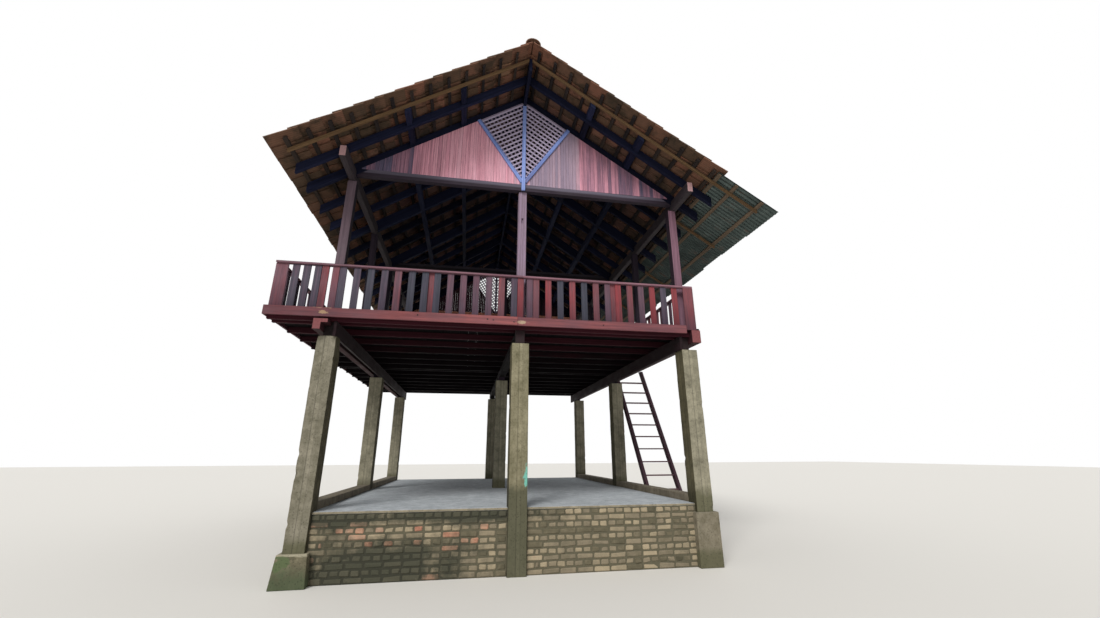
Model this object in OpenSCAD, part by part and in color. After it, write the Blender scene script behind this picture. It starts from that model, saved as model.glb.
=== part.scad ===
// Open-sided timber stilt house on concrete columns and a brick plinth.
// Millimetres, +Z up. The origin is on the ground below the middle column,
// +X runs to the right of the front view and +Y runs from front to back.

/* [Column grid] */
// Distance between column centres across the front
bay_x = 2640; // [2200:20:3200]
// Distance between column centres from front to back
bay_y = 3550; // [2800:50:4400]
// Side of the square concrete columns
column_w = 250; // [200:10:300]
// Height of the columns above the slab
column_h = 2200; // [1800:50:3000]

/* [Plinth] */
// Height of the brickwork
plinth_h = 770; // [500:10:1200]
// Thickness of the cement slab on top of the brickwork
screed_t = 30; // [20:5:60]
// How far the columns stand out from the brick faces
column_proud = 50; // [20:5:80]
// Height of the kerbs along both sides of the slab
kerb_h = 100; // [60:10:160]
// Height of the footing under the front left column
footing_h = 360; // [200:10:440]
// Width of that footing at its top
footing_top_w = 340; // [320:5:380]
// Width of that footing at the ground
footing_bottom_w = 400; // [390:5:460]
// Width of the pad under the front right column
pad_w = 340; // [310:5:400]
// How far the top of that pad lies below the slab
pad_drop = 110; // [80:5:160]

/* [Floor] */
// Side of the square timber posts
post_w = 130; // [110:5:150]
// How far the right posts stand in from the column centres
right_post_in = 40; // [0:5:50]
// Width of the beam outside the left posts
left_beam_w = 100; // [80:5:130]
// Height from the column heads to the underside of that beam
left_beam_rise = 60; // [40:5:100]
// How far that beam stands out in front of the edge boards
left_beam_nose = 45; // [20:5:80]
// Width of the block beside the front end of that beam
nose_block_w = 85; // [60:5:110]
// Depth of that block
nose_block_h = 55; // [40:5:90]
// Thickness of the planks along the inner faces of the outer posts
inner_plank_w = 40; // [30:5:60]
// Height from the column heads to the underside of the joists
joist_rise = 210; // [180:5:260]
// Depth of the beam between the centre posts
centre_beam_h = 130; // [100:5:170]
// Width of the edge beam outside the right posts
edge_beam_w = 145; // [100:5:160]
// Depth of the edge beam outside the right posts
edge_beam_h = 200; // [160:5:220]
// Thickness of a floor joist
joist_w = 50; // [40:5:70]
// Depth of a floor joist
joist_h = 90; // [80:5:120]
// Number of joists in each bay from front to back
joists_per_bay = 7; // [5:1:12]
// Thickness of the floor boards
deck_t = 30; // [20:2:40]
// Reach of the floor in front of the front posts
front_reach = 115; // [80:5:180]
// Reach of the floor behind the rear posts
rear_reach = 435; // [250:25:600]
// Reach of the floor to the left of the left posts
left_reach = 735; // [600:5:900]
// Thickness of the edge boards
fascia_t = 25; // [18:1:35]
// Depth of the edge boards
fascia_h = 130; // [100:5:160]
// Height of the edge boards above the floor
fascia_rise = 47; // [20:1:60]

/* [Balustrade] */
// Height of the handrail above the floor
rail_h = 700; // [600:10:1000]
// Width of the handrail
rail_w = 80; // [70:5:85]
// Thickness of the handrail
rail_t = 30; // [24:2:50]
// Width of a flat baluster
baluster_w = 94; // [80:2:110]
// Thickness of a baluster
baluster_t = 22; // [18:1:26]
// Greatest distance between baluster centres
baluster_pitch = 196; // [180:2:230]
// Width of the wide boards at the ends
end_board_w = 165; // [140:5:180]
// Space between the two boards beside a newel
newel_gap = 80; // [60:5:100]
// Space between the two pairs of boards in front of a post
pair_gap = 42; // [30:2:60]
// How far the middle pairs of the front lie right of the centre post
centre_shift = 50; // [0:5:80]
// Width of the way in from the ladder
gate_w = 900; // [700:20:1100]

/* [Upper frame] */
// Height of the wall plates above the floor
plate_rise = 2150; // [1900:10:2600]
// Width of the wall plates
plate_w = 90; // [70:5:110]
// Depth of the wall plates
plate_h = 170; // [130:5:200]
// Reach of the wall plates past the gable rafters
plate_reach = 605; // [450:5:700]
// Side of the posts under the wall plates in the middle of each bay
bay_post_w = 110; // [90:5:130]
// Height of the slot in the front centre post above the floor
slot_rise = 1660; // [1200:20:1900]
// Width of that slot
slot_w = 30; // [20:5:50]
// Height of that slot
slot_h = 90; // [60:5:120]
// Height of the ties above the underside of the wall plates
tie_lift = 85; // [60:5:95]
// Depth of the ties
tie_h = 120; // [90:5:130]
// Thickness of the ties
tie_w = 90; // [80:5:100]
// How far the gable rafters stand out from the post centres
gable_reach = 80; // [70:5:100]

/* [Roof] */
// Slope of the roof in degrees
roof_pitch = 33.5; // [28:0.5:38]
// Depth of the rafters
rafter_h = 125; // [100:5:150]
// Thickness of a common rafter
rafter_w = 50; // [40:5:65]
// Thickness of a principal rafter
principal_w = 75; // [60:5:90]
// Depth of the purlins under the common rafters
purlin_h = 75; // [50:5:100]
// Width of the purlins
purlin_w = 75; // [50:5:100]
// Thickness of the ridge board
ridge_w = 50; // [35:5:70]
// Reach of the tiles past the centres of the front and rear posts
verge_reach = 1150; // [1000:25:1300]
// How far the verge poles stand in from the ends of the tiles
pole_inset = 275; // [200:15:350]
// Distance from the gable frames to the outer rafters
outer_rafter_reach = 450; // [380:10:520]
// How far the battens stop short of the ends of the tiles
batten_inset = 80; // [40:10:140]
// Reach of the left rafters past the left column centres
left_tail = 620; // [540:10:800]
// Reach of the right rafters past the right column centres
right_tail = 430; // [380:10:520]
// Where the right slope's tiles end, past the right column centres
right_tile_reach = 400; // [320:10:480]
// Overhang of the left slope's tiles past the rafter ends
left_lip = 190; // [120:10:260]
// Reach of the metal sheets past the right column centres
sheet_reach = 1200; // [1100:10:1300]
// Middle of the inner batten under the sheets, past the right column centres
inner_batten_reach = 570; // [520:10:650]
// Middle of the outer batten under the sheets, past the right column centres
outer_batten_reach = 960; // [850:10:1040]
// Distance from the middle to the front bearer under the sheets
bearer_y = 3140; // [3020:20:3240]
// Thickness of the tile battens
batten_t = 30; // [25:1:40]
// Width of the tile battens
batten_w = 50; // [35:5:60]
// Spacing of the tile courses up the slope
tile_gauge = 300; // [260:5:340]
// Least thickness of a tile course
tile_t = 16; // [12:1:24]
// Step between one tile course and the next
tile_step = 24; // [14:1:30]
// Outer radius of the ridge cap
cap_r = 120; // [100:5:150]
// Thickness of the ridge cap
cap_t = 16; // [12:1:24]
// Depth of the corrugations in the metal sheets
sheet_depth = 17; // [12:1:19]
// Width of one corrugation
sheet_wave = 76; // [70:1:110]
// Thickness of the metal sheets as modelled
sheet_t = 3; // [2:0.5:4]

/* [Gables] */
// Thickness of the gable boards and of the lattice
board_t = 20; // [16:2:24]
// Width of the blue cover strips
strip_w = 60; // [45:5:80]
// Thickness of the blue cover strips
strip_t = 30; // [20:2:40]
// Spacing of the lattice bars
lattice_pitch = 75; // [65:1:100]
// Width of a lattice bar
lattice_w = 34; // [25:1:45]

/* [Ladder] */
// Slope of the ladder in degrees
ladder_pitch = 58; // [52:1:64]
// Clear width between the ladder's strings
ladder_w = 595; // [500:5:650]
// Thickness of a string
string_w = 60; // [40:5:70]
// Depth of a string
string_h = 110; // [90:5:140]
// Thickness of a tread
tread_t = 25; // [20:1:35]
// Depth of a tread
tread_d = 90; // [70:5:110]
// Rise from one tread to the next
tread_rise = 255; // [220:5:280]
// How far the strings stand above the floor
string_rise = 70; // [40:5:120]

/* [Hidden] */
slab_top = plinth_h + screed_t;
column_top = slab_top + column_h;
joist_z = column_top + joist_rise;
deck_z = joist_z + joist_h;
deck_top = deck_z + deck_t;
rail_z = deck_top + rail_h - rail_t;
plate_z = deck_top + plate_rise;
plate_top = plate_z + plate_h;
tie_z = plate_z + tie_lift;
tie_top = tie_z + tie_h;
half_column = column_w / 2;
half_post = post_w / 2;
side_face = bay_x + half_column - column_proud;
end_face = bay_y + half_column - column_proud;
post_xs = [-bay_x, 0, bay_x - right_post_in];
post_rows = [-bay_y, 0, bay_y];
left_side = post_xs[0] - half_post;
right_side = post_xs[2] + half_post;
front_edge = -bay_y - half_post - front_reach;
rear_edge = bay_y + half_post + rear_reach;
left_edge = left_side - left_reach;
right_edge = right_side + edge_beam_w;
plate_in = bay_x - plate_w / 2;
plate_out = bay_x + plate_w / 2;
frame_face = bay_y + gable_reach;
gable_face = frame_face + board_t;
plate_end = frame_face + plate_reach;
verge_end = bay_y + verge_reach;
pole_w = 40;
pole_y = verge_end - pole_inset;
outer_rafter_y = frame_face + outer_rafter_reach;
slope_cos = cos(roof_pitch);
slope_sin = sin(roof_pitch);
slope_tan = tan(roof_pitch);
apex = plate_top + plate_in * slope_tan;
cover_depth = rafter_h + batten_t;
left_tail_x = bay_x + left_tail;
right_tail_x = bay_x + right_tail;
left_eave_x = left_tail_x + left_lip;
right_tile_x = bay_x + right_tile_reach;
sheet_lap = 120;
sheet_top_x = right_tile_x - sheet_lap;
sheet_eave_x = bay_x + sheet_reach;
bearer_end_x = bay_x + outer_batten_reach + batten_w / 2;
purlin_xs = [1020, 1800];
gable_h = apex - tie_top;
strut_x = gable_h * slope_sin * slope_cos;
lattice_border = 20;
string_x = [right_edge, right_edge + string_w + ladder_w];
ladder_foot_y = -1645;
string_slant = string_h / sin(ladder_pitch);

// Height of the line at a depth d above the rafters' underside, at x
function roof_z(x, d) = plate_top + (plate_in - abs(x)) * slope_tan + d / slope_cos;
// Distance from the middle at which that line has the height z
function roof_x(z, d) = plate_in + (plate_top + d / slope_cos - z) / slope_tan;

// A box between two opposite corners
module block(low, high) {
    translate(low) cube(high - low);
}

// A profile drawn in X and Z, carried from y0 to y1
module along_y(y0, y1) {
    translate([0, y1, 0]) rotate([90, 0, 0]) linear_extrude(y1 - y0) children();
}

// The same profile, centred on each place in the list
module at_rows(places, thickness) {
    for (y = places) along_y(y - thickness / 2, y + thickness / 2) children();
}

// A strip of the right slope from x0 to x1, between two depths
module slope_strip(x0, x1, d0, d1) {
    polygon([[x0, roof_z(x0, d0)], [x1, roof_z(x1, d0)],
        [x1, roof_z(x1, d1)], [x0, roof_z(x0, d1)]]);
}

// Plinth, slab and kerbs

module footing_shape() {
    profile = [[-footing_bottom_w / 2, 0], [footing_bottom_w / 2, 0],
        [footing_top_w / 2, footing_h], [-footing_top_w / 2, footing_h]];
    translate([-bay_x, -bay_y, 0])
        intersection() {
            along_y(-footing_bottom_w / 2, footing_bottom_w / 2) polygon(profile);
            rotate([0, 0, 90])
                along_y(-footing_bottom_w / 2, footing_bottom_w / 2) polygon(profile);
        }
}

module pad_shape() {
    translate([bay_x, -bay_y, 0])
        block([-pad_w / 2, -pad_w / 2, 0], [pad_w / 2, pad_w / 2, slab_top - pad_drop]);
}

// The stretch of a front column's place between two heights
module front_column_place(x, z0, z1) {
    block([x - half_column, -bay_y - half_column, z0],
        [x + half_column, -bay_y + half_column, z1]);
}

module brick_plinth() {
    color("tan") difference() {
        block([-side_face, -end_face, 0], [side_face, end_face, plinth_h]);
        footing_shape();
        pad_shape();
        for (x = [-bay_x, 0, bay_x]) front_column_place(x, -1, plinth_h + 1);
    }
}

module floor_slab() {
    color("gainsboro") difference() {
        block([-side_face, -end_face, plinth_h], [side_face, end_face, slab_top]);
        for (x = [-bay_x, 0, bay_x]) front_column_place(x, plinth_h - 1, slab_top + 1);
    }
}

module slab_kerbs() {
    color("silver")
        for (side = [-1, 1], y = [-bay_y, 0])
            mirror([side < 0 ? 1 : 0, 0, 0])
                block([bay_x - half_column, y + half_column, slab_top],
                    [side_face, y + bay_y - half_column, slab_top + kerb_h]);
}

module front_left_footing() {
    color("darkkhaki") footing_shape();
}

module front_right_pad() {
    color("darkkhaki") pad_shape();
}

module column(x, y, foot_z) {
    color("darkgray")
        block([x - half_column, y - half_column, foot_z],
            [x + half_column, y + half_column, column_top]);
}

// Posts and floor

// Three posts of one row, the middle one as high as the tie above it
module post_row(y) {
    color("rosybrown")
        for (i = [0:2])
            block([post_xs[i] - half_post, y - half_post, column_top],
                [post_xs[i] + half_post, y + half_post, i == 1 ? tie_z : plate_z]);
}

// The front row has a slot cut into its middle post, as deep as it is wide
module front_posts() {
    z = deck_top + slot_rise;
    color("rosybrown") difference() {
        post_row(-bay_y);
        block([-slot_w / 2, -bay_y - half_post - 1, z],
            [slot_w / 2, -bay_y - half_post + slot_w, z + slot_h]);
    }
}

// Slighter posts between floor and wall plates, one in each side bay
module bay_posts() {
    half = bay_post_w / 2;
    color("rosybrown")
        for (x = [post_xs[0], post_xs[2]], y = [-bay_y / 2, bay_y / 2])
            block([x - half, y - half, deck_top], [x + half, y + half, plate_z]);
}

// A plank on the column heads, along the inner faces of the outer posts
module inner_plank(x) {
    block([x, -bay_y - half_column, column_top], [x + inner_plank_w, rear_edge, joist_z]);
}

// The outer beam is widened in front of the front post
module left_edge_beam() {
    end = front_edge - fascia_t - left_beam_nose;
    color("saddlebrown") {
        block([left_side - left_beam_w, end, column_top + left_beam_rise],
            [left_side, rear_edge, joist_z]);
        block([left_side - 1, end, joist_z - nose_block_h],
            [left_side + nose_block_w, -bay_y - half_post, joist_z]);
        inner_plank(left_side + post_w);
    }
}

// The middle beam is cut between the centre posts, with a short end behind
module centre_beam() {
    color("saddlebrown")
        for (span = [[-bay_y + half_post, -half_post],
                [half_post, bay_y - half_post], [bay_y + half_post, rear_edge]])
            block([-half_post, span[0], joist_z - centre_beam_h],
                [half_post, span[1], joist_z]);
}

module right_edge_beam() {
    color("saddlebrown") {
        block([right_side, front_edge - fascia_t, deck_z - edge_beam_h],
            [right_edge, rear_edge, deck_z]);
        inner_plank(right_side - post_w - inner_plank_w);
    }
}

// Middles of the joists of one bay, the first and last against the posts
function joist_rows(y0, y1) = [for (i = [0:joists_per_bay - 1])
    y0 + joist_w / 2 + i * (y1 - y0 - joist_w) / (joists_per_bay - 1)];

module floor_joists() {
    outside = bay_y + half_post + joist_w / 2;
    rows = concat([-outside, outside, rear_edge - joist_w / 2],
        joist_rows(-bay_y + half_post, -half_post),
        joist_rows(half_post, bay_y - half_post));
    color("maroon")
        for (y = rows)
            block([left_edge, y - joist_w / 2, joist_z],
                [right_side, y + joist_w / 2, deck_z]);
}

module floor_deck() {
    color("brown") difference() {
        block([left_edge, front_edge, deck_z], [right_edge, rear_edge, deck_top]);
        for (x = post_xs, y = post_rows)
            block([x - half_post, y - half_post, deck_z - 1],
                [x + half_post, y + half_post, deck_top + 1]);
    }
}

// Edge boards at the front, the left and the rear, open by a hair at the corners
module edge_boards() {
    top = deck_top + fascia_rise;
    outer_x = left_edge - fascia_t;
    joint = 2;
    color("indianred") {
        block([outer_x, front_edge - fascia_t, top - fascia_h],
            [rail_right - end_board_w - joint, front_edge, top]);
        block([outer_x, front_edge + joint, top - fascia_h],
            [left_edge, rear_edge - joint, top]);
        block([outer_x, rear_edge, top - fascia_h],
            [right_edge, rear_edge + fascia_t, top]);
    }
}

// Balustrades

rail_left = left_edge + 20;
rail_right = right_side + 10 + rail_w;
rail_front = front_edge - fascia_t;
rail_rear = rear_edge + fascia_t;
rail_inside = rail_front + rail_w;

// Boards come in groups: 0 is a wide end board, 1 the two boards beside a
// newel and 2 two pairs of boards in front of a post. Each group has the
// distance from its middle to the middle of its outermost boards.
reach_of = [(end_board_w - baluster_w) / 2, (newel_gap + baluster_w) / 2,
    pair_gap / 2 + 1.5 * baluster_w + 4];

function group_boards(x, kind) =
    kind == 0 ? [[x, end_board_w]] :
    kind == 1 ? [for (s = [-1, 1]) [x + s * reach_of[1], baluster_w]] :
    [for (s = [-1, 1], d = [pair_gap / 2 + baluster_w / 2, reach_of[2]])
        [x + s * d, baluster_w]];

// Balusters spread evenly between the outermost boards of two groups
function spread(a, b) = let (spaces = max(1, ceil((b - a) / baluster_pitch)))
    [for (i = [1:1:spaces - 1]) [a + i * (b - a) / spaces, baluster_w]];

function all_boards(groups) = concat(
    [for (g = groups) each group_boards(g[0], g[1])],
    [for (i = [0:len(groups) - 2])
        each spread(groups[i][0] + reach_of[groups[i][1]],
            groups[i + 1][0] - reach_of[groups[i + 1][1]])]);

// A panel along X from start to end with its outer face at y = 0. The boards
// stand on the floor behind the edge board and a newel backs each group 1.
// A dropped last board takes the edge board's place, down to the beam below.
module rail_panel(start, end, groups, dropped = false) {
    face = fascia_t + 5;
    newel_w = newel_gap + 30;
    translate([start, 0, rail_z]) cube([end - start, rail_w, rail_t]);
    for (b = all_boards(groups))
        if (dropped && b[0] > end - end_board_w)
            translate([b[0] - b[1] / 2, 0, deck_z])
                cube([b[1], fascia_t, rail_z - deck_z]);
        else
            translate([b[0] - b[1] / 2, face, deck_top])
                cube([b[1], baluster_t, rail_h - rail_t]);
    for (g = groups)
        if (g[1] == 1)
            translate([g[0] - newel_w / 2, face + baluster_t, deck_top])
                cube([newel_w, rail_w - face - baluster_t, rail_h - rail_t]);
}

// End boards at both ends of a run, and the given groups between them
function ends(start, end, groups) = concat([[start + end_board_w / 2, 0]],
    groups, [[end - end_board_w / 2, 0]]);

module long_panel(dropped) {
    right_group = right_edge - 10;
    rail_panel(rail_left, rail_right, ends(rail_left, rail_right,
        [[left_side, 2], [(left_side + centre_shift) / 2, 1], [centre_shift, 2],
            [(centre_shift + right_group) / 2, 1]]), dropped);
}

module front_balustrade() {
    color("indianred") translate([0, rail_front, 0]) long_panel(true);
}

module rear_balustrade() {
    color("indianred") translate([0, rail_rear, 0]) mirror([0, 1, 0]) long_panel(false);
}

side_start = rail_inside;
side_end = rail_rear - rail_w;

module left_balustrade() {
    color("indianred")
        translate([rail_left, 0, 0]) mirror([1, 0, 0]) rotate([0, 0, 90])
            rail_panel(side_start, side_end, ends(side_start, side_end,
                [[-bay_y / 2, 1], [0, 2], [bay_y / 2, 1], [bay_y, 2]]));
}

// The right side is open beside the head of the ladder
gate_start = half_post + 35;
gate_end = gate_start + gate_w;

module right_balustrade() {
    color("indianred")
        translate([rail_right, 0, 0]) rotate([0, 0, 90]) {
            rail_panel(side_start, gate_start,
                ends(side_start, gate_start, [[-bay_y / 2, 1]]));
            rail_panel(gate_end, side_end,
                ends(gate_end, side_end, [[(gate_end + side_end) / 2, 1]]));
        }
}

// Upper frame

module wall_plate() {
    color("sienna")
        block([plate_in, -plate_end, plate_z], [plate_out, plate_end, plate_top]);
}

// Ties end under the rafters, just inside the wall plates
module tie_beams() {
    low_x = roof_x(tie_z, -purlin_h);
    high_x = roof_x(tie_top, -purlin_h);
    rows = [[-gable_face, -gable_face + tie_w], [-tie_w / 2, tie_w / 2],
        [gable_face - tie_w, gable_face]];
    color("dimgray")
        for (row = rows)
            along_y(row[0], row[1])
                polygon([[-low_x, tie_z], [low_x, tie_z], [high_x, tie_top], [-high_x, tie_top]]);
}

ridge_bottom = roof_z(ridge_w / 2, -purlin_h);

module ridge_board() {
    end = pole_y + pole_w / 2;
    color("saddlebrown")
        block([-ridge_w / 2, -end, ridge_bottom],
            [ridge_w / 2, end, roof_z(ridge_w / 2, rafter_h)]);
}

principal_rows = [-frame_face + principal_w / 2, -bay_y / 2, 0, bay_y / 2,
    frame_face - principal_w / 2];
common_rows = concat([-outer_rafter_y, outer_rafter_y],
    [for (k = [1, 2, 4, 5]) each [-bay_y * k / 6, bay_y * k / 6]]);

// A rafter on the right slope, notched over the wall plate, with its
// underside drop below the common rafters' between ridge and plate
module rafter_profile(tail_x, drop) {
    polygon([[ridge_w / 2, roof_z(ridge_w / 2, -drop)],
        [plate_in, plate_top - drop / slope_cos],
        [plate_in, plate_top], [plate_out, plate_top],
        [plate_out, roof_z(plate_out, 0)],
        [tail_x, roof_z(tail_x, 0)], [tail_x, roof_z(tail_x, rafter_h)],
        [ridge_w / 2, roof_z(ridge_w / 2, rafter_h)]]);
}

module rafter_set(tail_x) {
    color("saddlebrown") {
        at_rows(common_rows, rafter_w) rafter_profile(tail_x, 0);
        at_rows(principal_rows, principal_w) rafter_profile(tail_x, purlin_h);
    }
}

// Purlins fit between the principal rafters, under the common ones. Short
// lookouts carry the outer rafters past both gables.
module purlin_set() {
    half = principal_w / 2;
    outer = outer_rafter_y - rafter_w / 2;
    color("sienna") {
        for (x = purlin_xs, i = [0:3])
            along_y(principal_rows[i] + half, principal_rows[i + 1] - half)
                slope_strip(x - purlin_w / 2, x + purlin_w / 2, -purlin_h, 0);
        for (x = purlin_xs, end = [0, 1])
            mirror([0, end, 0])
                for (span = [[frame_face, outer],
                        [outer + rafter_w, pole_y - pole_w / 2]])
                    along_y(span[0], span[1])
                        slope_strip(x - purlin_w / 2, x + purlin_w / 2,
                            rafter_h - purlin_h - 15, rafter_h);
    }
}

// Light poles past both gables, and short ones from the wall plate outwards
// that bear the sheets where the heavy rafters have ended
module verge_rafters() {
    top = rafter_h - pole_w;
    color("peru") {
        at_rows([-pole_y, pole_y], pole_w) {
            slope_strip(ridge_w / 2, bearer_end_x, top, rafter_h);
            mirror([1, 0, 0]) slope_strip(ridge_w / 2, left_tail_x, top, rafter_h);
        }
        at_rows([-bearer_y, -bearer_y / 3, bearer_y / 3, bearer_y], pole_w)
            slope_strip(bay_x, bearer_end_x, top, rafter_h);
    }
}

// Roof covering

course = tile_gauge * slope_cos;

// Battens up the slope from an eave, one for each course
module batten_set(first_x, last_x) {
    step_x = batten_w / 2 * slope_cos;
    color("burlywood")
        for (x = [first_x:-course:last_x])
            along_y(-verge_end + batten_inset, verge_end - batten_inset)
                slope_strip(x - step_x, x + step_x, rafter_h, cover_depth);
}

module left_battens() {
    mirror([1, 0, 0]) batten_set(left_tail_x - batten_w / 2, ridge_w + batten_w);
}

module right_battens() {
    batten_set(sheet_top_x - batten_w, ridge_w + batten_w);
    color("burlywood")
        for (x = [sheet_top_x + 30, bay_x + inner_batten_reach, bay_x + outer_batten_reach])
            along_y(-verge_end + batten_inset, verge_end - batten_inset)
                slope_strip(x - batten_w / 2, x + batten_w / 2, rafter_h, sheet_seat);
}

// Thickness of the tiles at x, thin at the top of each course and thick at its foot
function tile_depth(x, eave_x) =
    let (rise = (eave_x - x) / course)
    tile_t + tile_step * (1 - rise + floor(rise));

// One slope of tiles, stepped at each course, with the foot raised over lap_x
module tile_slope(eave_x, lap_x, lap_d) {
    count = ceil(eave_x / course);
    steps = [for (i = [0:count - 1])
        let (low = eave_x - i * course, high = max(0, low - course),
            top_t = tile_t + tile_step * (1 - (low - high) / course))
        each [[low, roof_z(low, cover_depth + tile_t + tile_step)],
            [high, roof_z(high, cover_depth + top_t)]]];
    under = [[0, roof_z(0, cover_depth)], [lap_x, roof_z(lap_x, cover_depth)],
        [lap_x, roof_z(lap_x, cover_depth + lap_d)],
        [eave_x, roof_z(eave_x, cover_depth + lap_d)]];
    color("chocolate")
        along_y(-verge_end, verge_end) polygon(concat(under, steps));
}

module left_roof_tiles() {
    mirror([1, 0, 0]) tile_slope(left_eave_x, left_eave_x - 50, 4);
}

module right_roof_tiles() {
    tile_slope(right_tile_x, sheet_top_x, 4);
}

module ridge_cap() {
    inner = cap_r - cap_t;
    seat = max(roof_z(inner, cover_depth + tile_depth(inner, left_eave_x)),
        roof_z(inner, cover_depth + tile_depth(inner, right_tile_x)));
    color("sienna")
        along_y(-verge_end, verge_end)
            translate([0, seat])
                intersection() {
                    difference() {
                        circle(cap_r, $fn = 48);
                        circle(inner, $fn = 48);
                    }
                    translate([-cap_r, 0]) square([2 * cap_r, cap_r]);
                }
}

// Corrugated sheets below the right slope's tiles, on thinner battens
sheet_seat = cover_depth - sheet_depth - sheet_t + 2;
waves = floor(2 * verge_end / sheet_wave) - 1;

// One edge of the corrugations, four points to a wave
function wave_edge(lift) = [for (i = [0:4 * waves])
    [i * sheet_wave / 4, lift + sheet_depth / 2 * (1 - cos(i * 90))]];

module right_eave_sheets() {
    length = (sheet_eave_x - sheet_top_x) / slope_cos;
    lower = wave_edge(0);
    upper = wave_edge(sheet_t);
    backwards = [for (i = [len(upper) - 1:-1:0]) upper[i]];
    color("slategray")
        translate([sheet_top_x, -waves * sheet_wave / 2, roof_z(sheet_top_x, sheet_seat)])
            rotate([0, roof_pitch, 0])
                rotate([90, 0, 90])
                    linear_extrude(length) polygon(concat(lower, backwards));
}

// Gables

// Runs its child on both halves of the front gable, or of the rear one
module gable_halves(rear) {
    mirror([0, rear ? 1 : 0, 0])
        for (half = [0, 1]) mirror([half, 0, 0]) children();
}

// The boards stop short of the middle, behind the cover strips
module gable_boards(rear) {
    inner = strip_w / 4;
    color("rosybrown")
        gable_halves(rear)
            along_y(-gable_face, -frame_face)
                polygon([[inner, tie_top], [roof_x(tie_top, 0), tie_top],
                    [strut_x, roof_z(strut_x, 0)], [inner, tie_top + inner / slope_tan]]);
}

// Bars of one lattice layer, square across X and running along X
module lattice_bars(length, height) {
    for (v = [lattice_pitch / 2:lattice_pitch:height])
        translate([0, -v - lattice_w / 2]) square([length, lattice_w]);
}

// The lattice half in the right slope's own frame: a right triangle with
// one side along the rafter and one along the strut, bars in two layers and
// a border behind the cover strips. The ridge board passes through its top.
module lattice_half() {
    along = gable_h * slope_sin;
    down = gable_h * slope_cos;
    middle = -gable_face + board_t / 2;
    inset = (along + down - gable_h) / 2;
    centre = [along - inset, -inset];
    module triangle() {
        polygon([[0, 0], [along, 0], [along, -down]]);
    }
    module border() {
        difference() {
            triangle();
            translate(centre) scale(1 - lattice_border / inset) translate(-centre) triangle();
        }
    }
    module layer(y0, y1) {
        along_y(y0, y1) {
            translate([-1, tie_top + 1])
                square([lattice_border, ridge_bottom - tie_top - 1]);
            difference() {
                translate([0, apex]) rotate(-roof_pitch) {
                    border();
                    intersection() {
                        triangle();
                        children();
                    }
                }
                translate([-1, ridge_bottom]) square([ridge_w / 2 + 1, gable_h]);
            }
        }
    }
    layer(-gable_face, middle + 1) lattice_bars(along, down);
    layer(middle - 1, -frame_face) mirror([1, 1]) lattice_bars(down, along);
}

module gable_lattice(rear) {
    color("thistle") gable_halves(rear) lattice_half();
}

// Cover strips over the king post and along the two struts of each gable
module gable_strips() {
    half = strip_w / 2;
    color("cornflowerblue")
        for (end = [0, 1])
            mirror([0, end, 0])
                along_y(-gable_face - strip_t, -gable_face) {
                    translate([-half, tie_z]) square([strip_w, ridge_bottom - tie_z]);
                    for (side = [0, 1])
                        mirror([side, 0])
                            translate([0, tie_top]) rotate(90 - roof_pitch)
                                translate([half, -half])
                                    square([gable_h * slope_cos - half, strip_w]);
                }
}

// Ladder on the right side, climbing towards the back

module string_profile() {
    run = (deck_top + string_rise) / tan(ladder_pitch);
    polygon([[0, 0], [string_slant, 0], [string_slant + run, deck_top + string_rise],
        [run, deck_top + string_rise]]);
}

module ladder() {
    count = floor(deck_top / tread_rise);
    first = deck_top - count * tread_rise;
    color("maroon") {
        for (x = string_x)
            translate([x, ladder_foot_y, 0])
                rotate([90, 0, 90]) linear_extrude(string_w) string_profile();
        for (i = [0:count - 1])
            let (z = first + i * tread_rise,
                y = ladder_foot_y + (z + tread_t / 2) / tan(ladder_pitch))
            block([string_x[0] + string_w, y + (string_slant - tread_d) / 2, z],
                [string_x[1], y + (string_slant + tread_d) / 2, z + tread_t]);
    }
}

brick_plinth();
floor_slab();
slab_kerbs();
front_left_footing();
front_right_pad();
column(-bay_x, -bay_y, footing_h);  // column_front_left
column(0, -bay_y, 0);  // column_front_centre
column(bay_x, -bay_y, slab_top - pad_drop);  // column_front_right
column(-bay_x, 0, slab_top);  // column_mid_left
column(0, 0, slab_top);  // column_mid_centre
column(bay_x, 0, slab_top);  // column_mid_right
column(-bay_x, bay_y, slab_top);  // column_rear_left
column(0, bay_y, slab_top);  // column_rear_centre
column(bay_x, bay_y, slab_top);  // column_rear_right
front_posts();
post_row(0);  // mid_posts
post_row(bay_y);  // rear_posts
bay_posts();
left_edge_beam();
centre_beam();
right_edge_beam();
floor_joists();
floor_deck();
edge_boards();
front_balustrade();
left_balustrade();
right_balustrade();
rear_balustrade();
mirror([1, 0, 0]) wall_plate();  // left_wall_plate
wall_plate();  // right_wall_plate
tie_beams();
ridge_board();
mirror([1, 0, 0]) rafter_set(left_tail_x);  // left_rafters
rafter_set(right_tail_x);  // right_rafters
mirror([1, 0, 0]) purlin_set();  // left_purlins
purlin_set();  // right_purlins
verge_rafters();
left_battens();
right_battens();
left_roof_tiles();
right_roof_tiles();
ridge_cap();
right_eave_sheets();
gable_boards(false);  // front_gable_boards
gable_boards(true);  // rear_gable_boards
gable_lattice(false);  // front_lattice
gable_lattice(true);  // rear_lattice
gable_strips();
ladder();
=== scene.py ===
# %% [markdown]
# # A timber stilt house
# The real house is an open floor on nine concrete columns, with a railing of
# flat boards all round and a steep clay-tiled roof over it. This lesson dresses
# a solid model of it. Each step makes one part of the house as a mesh worked out
# with numpy, and gives it a procedural material.

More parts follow.
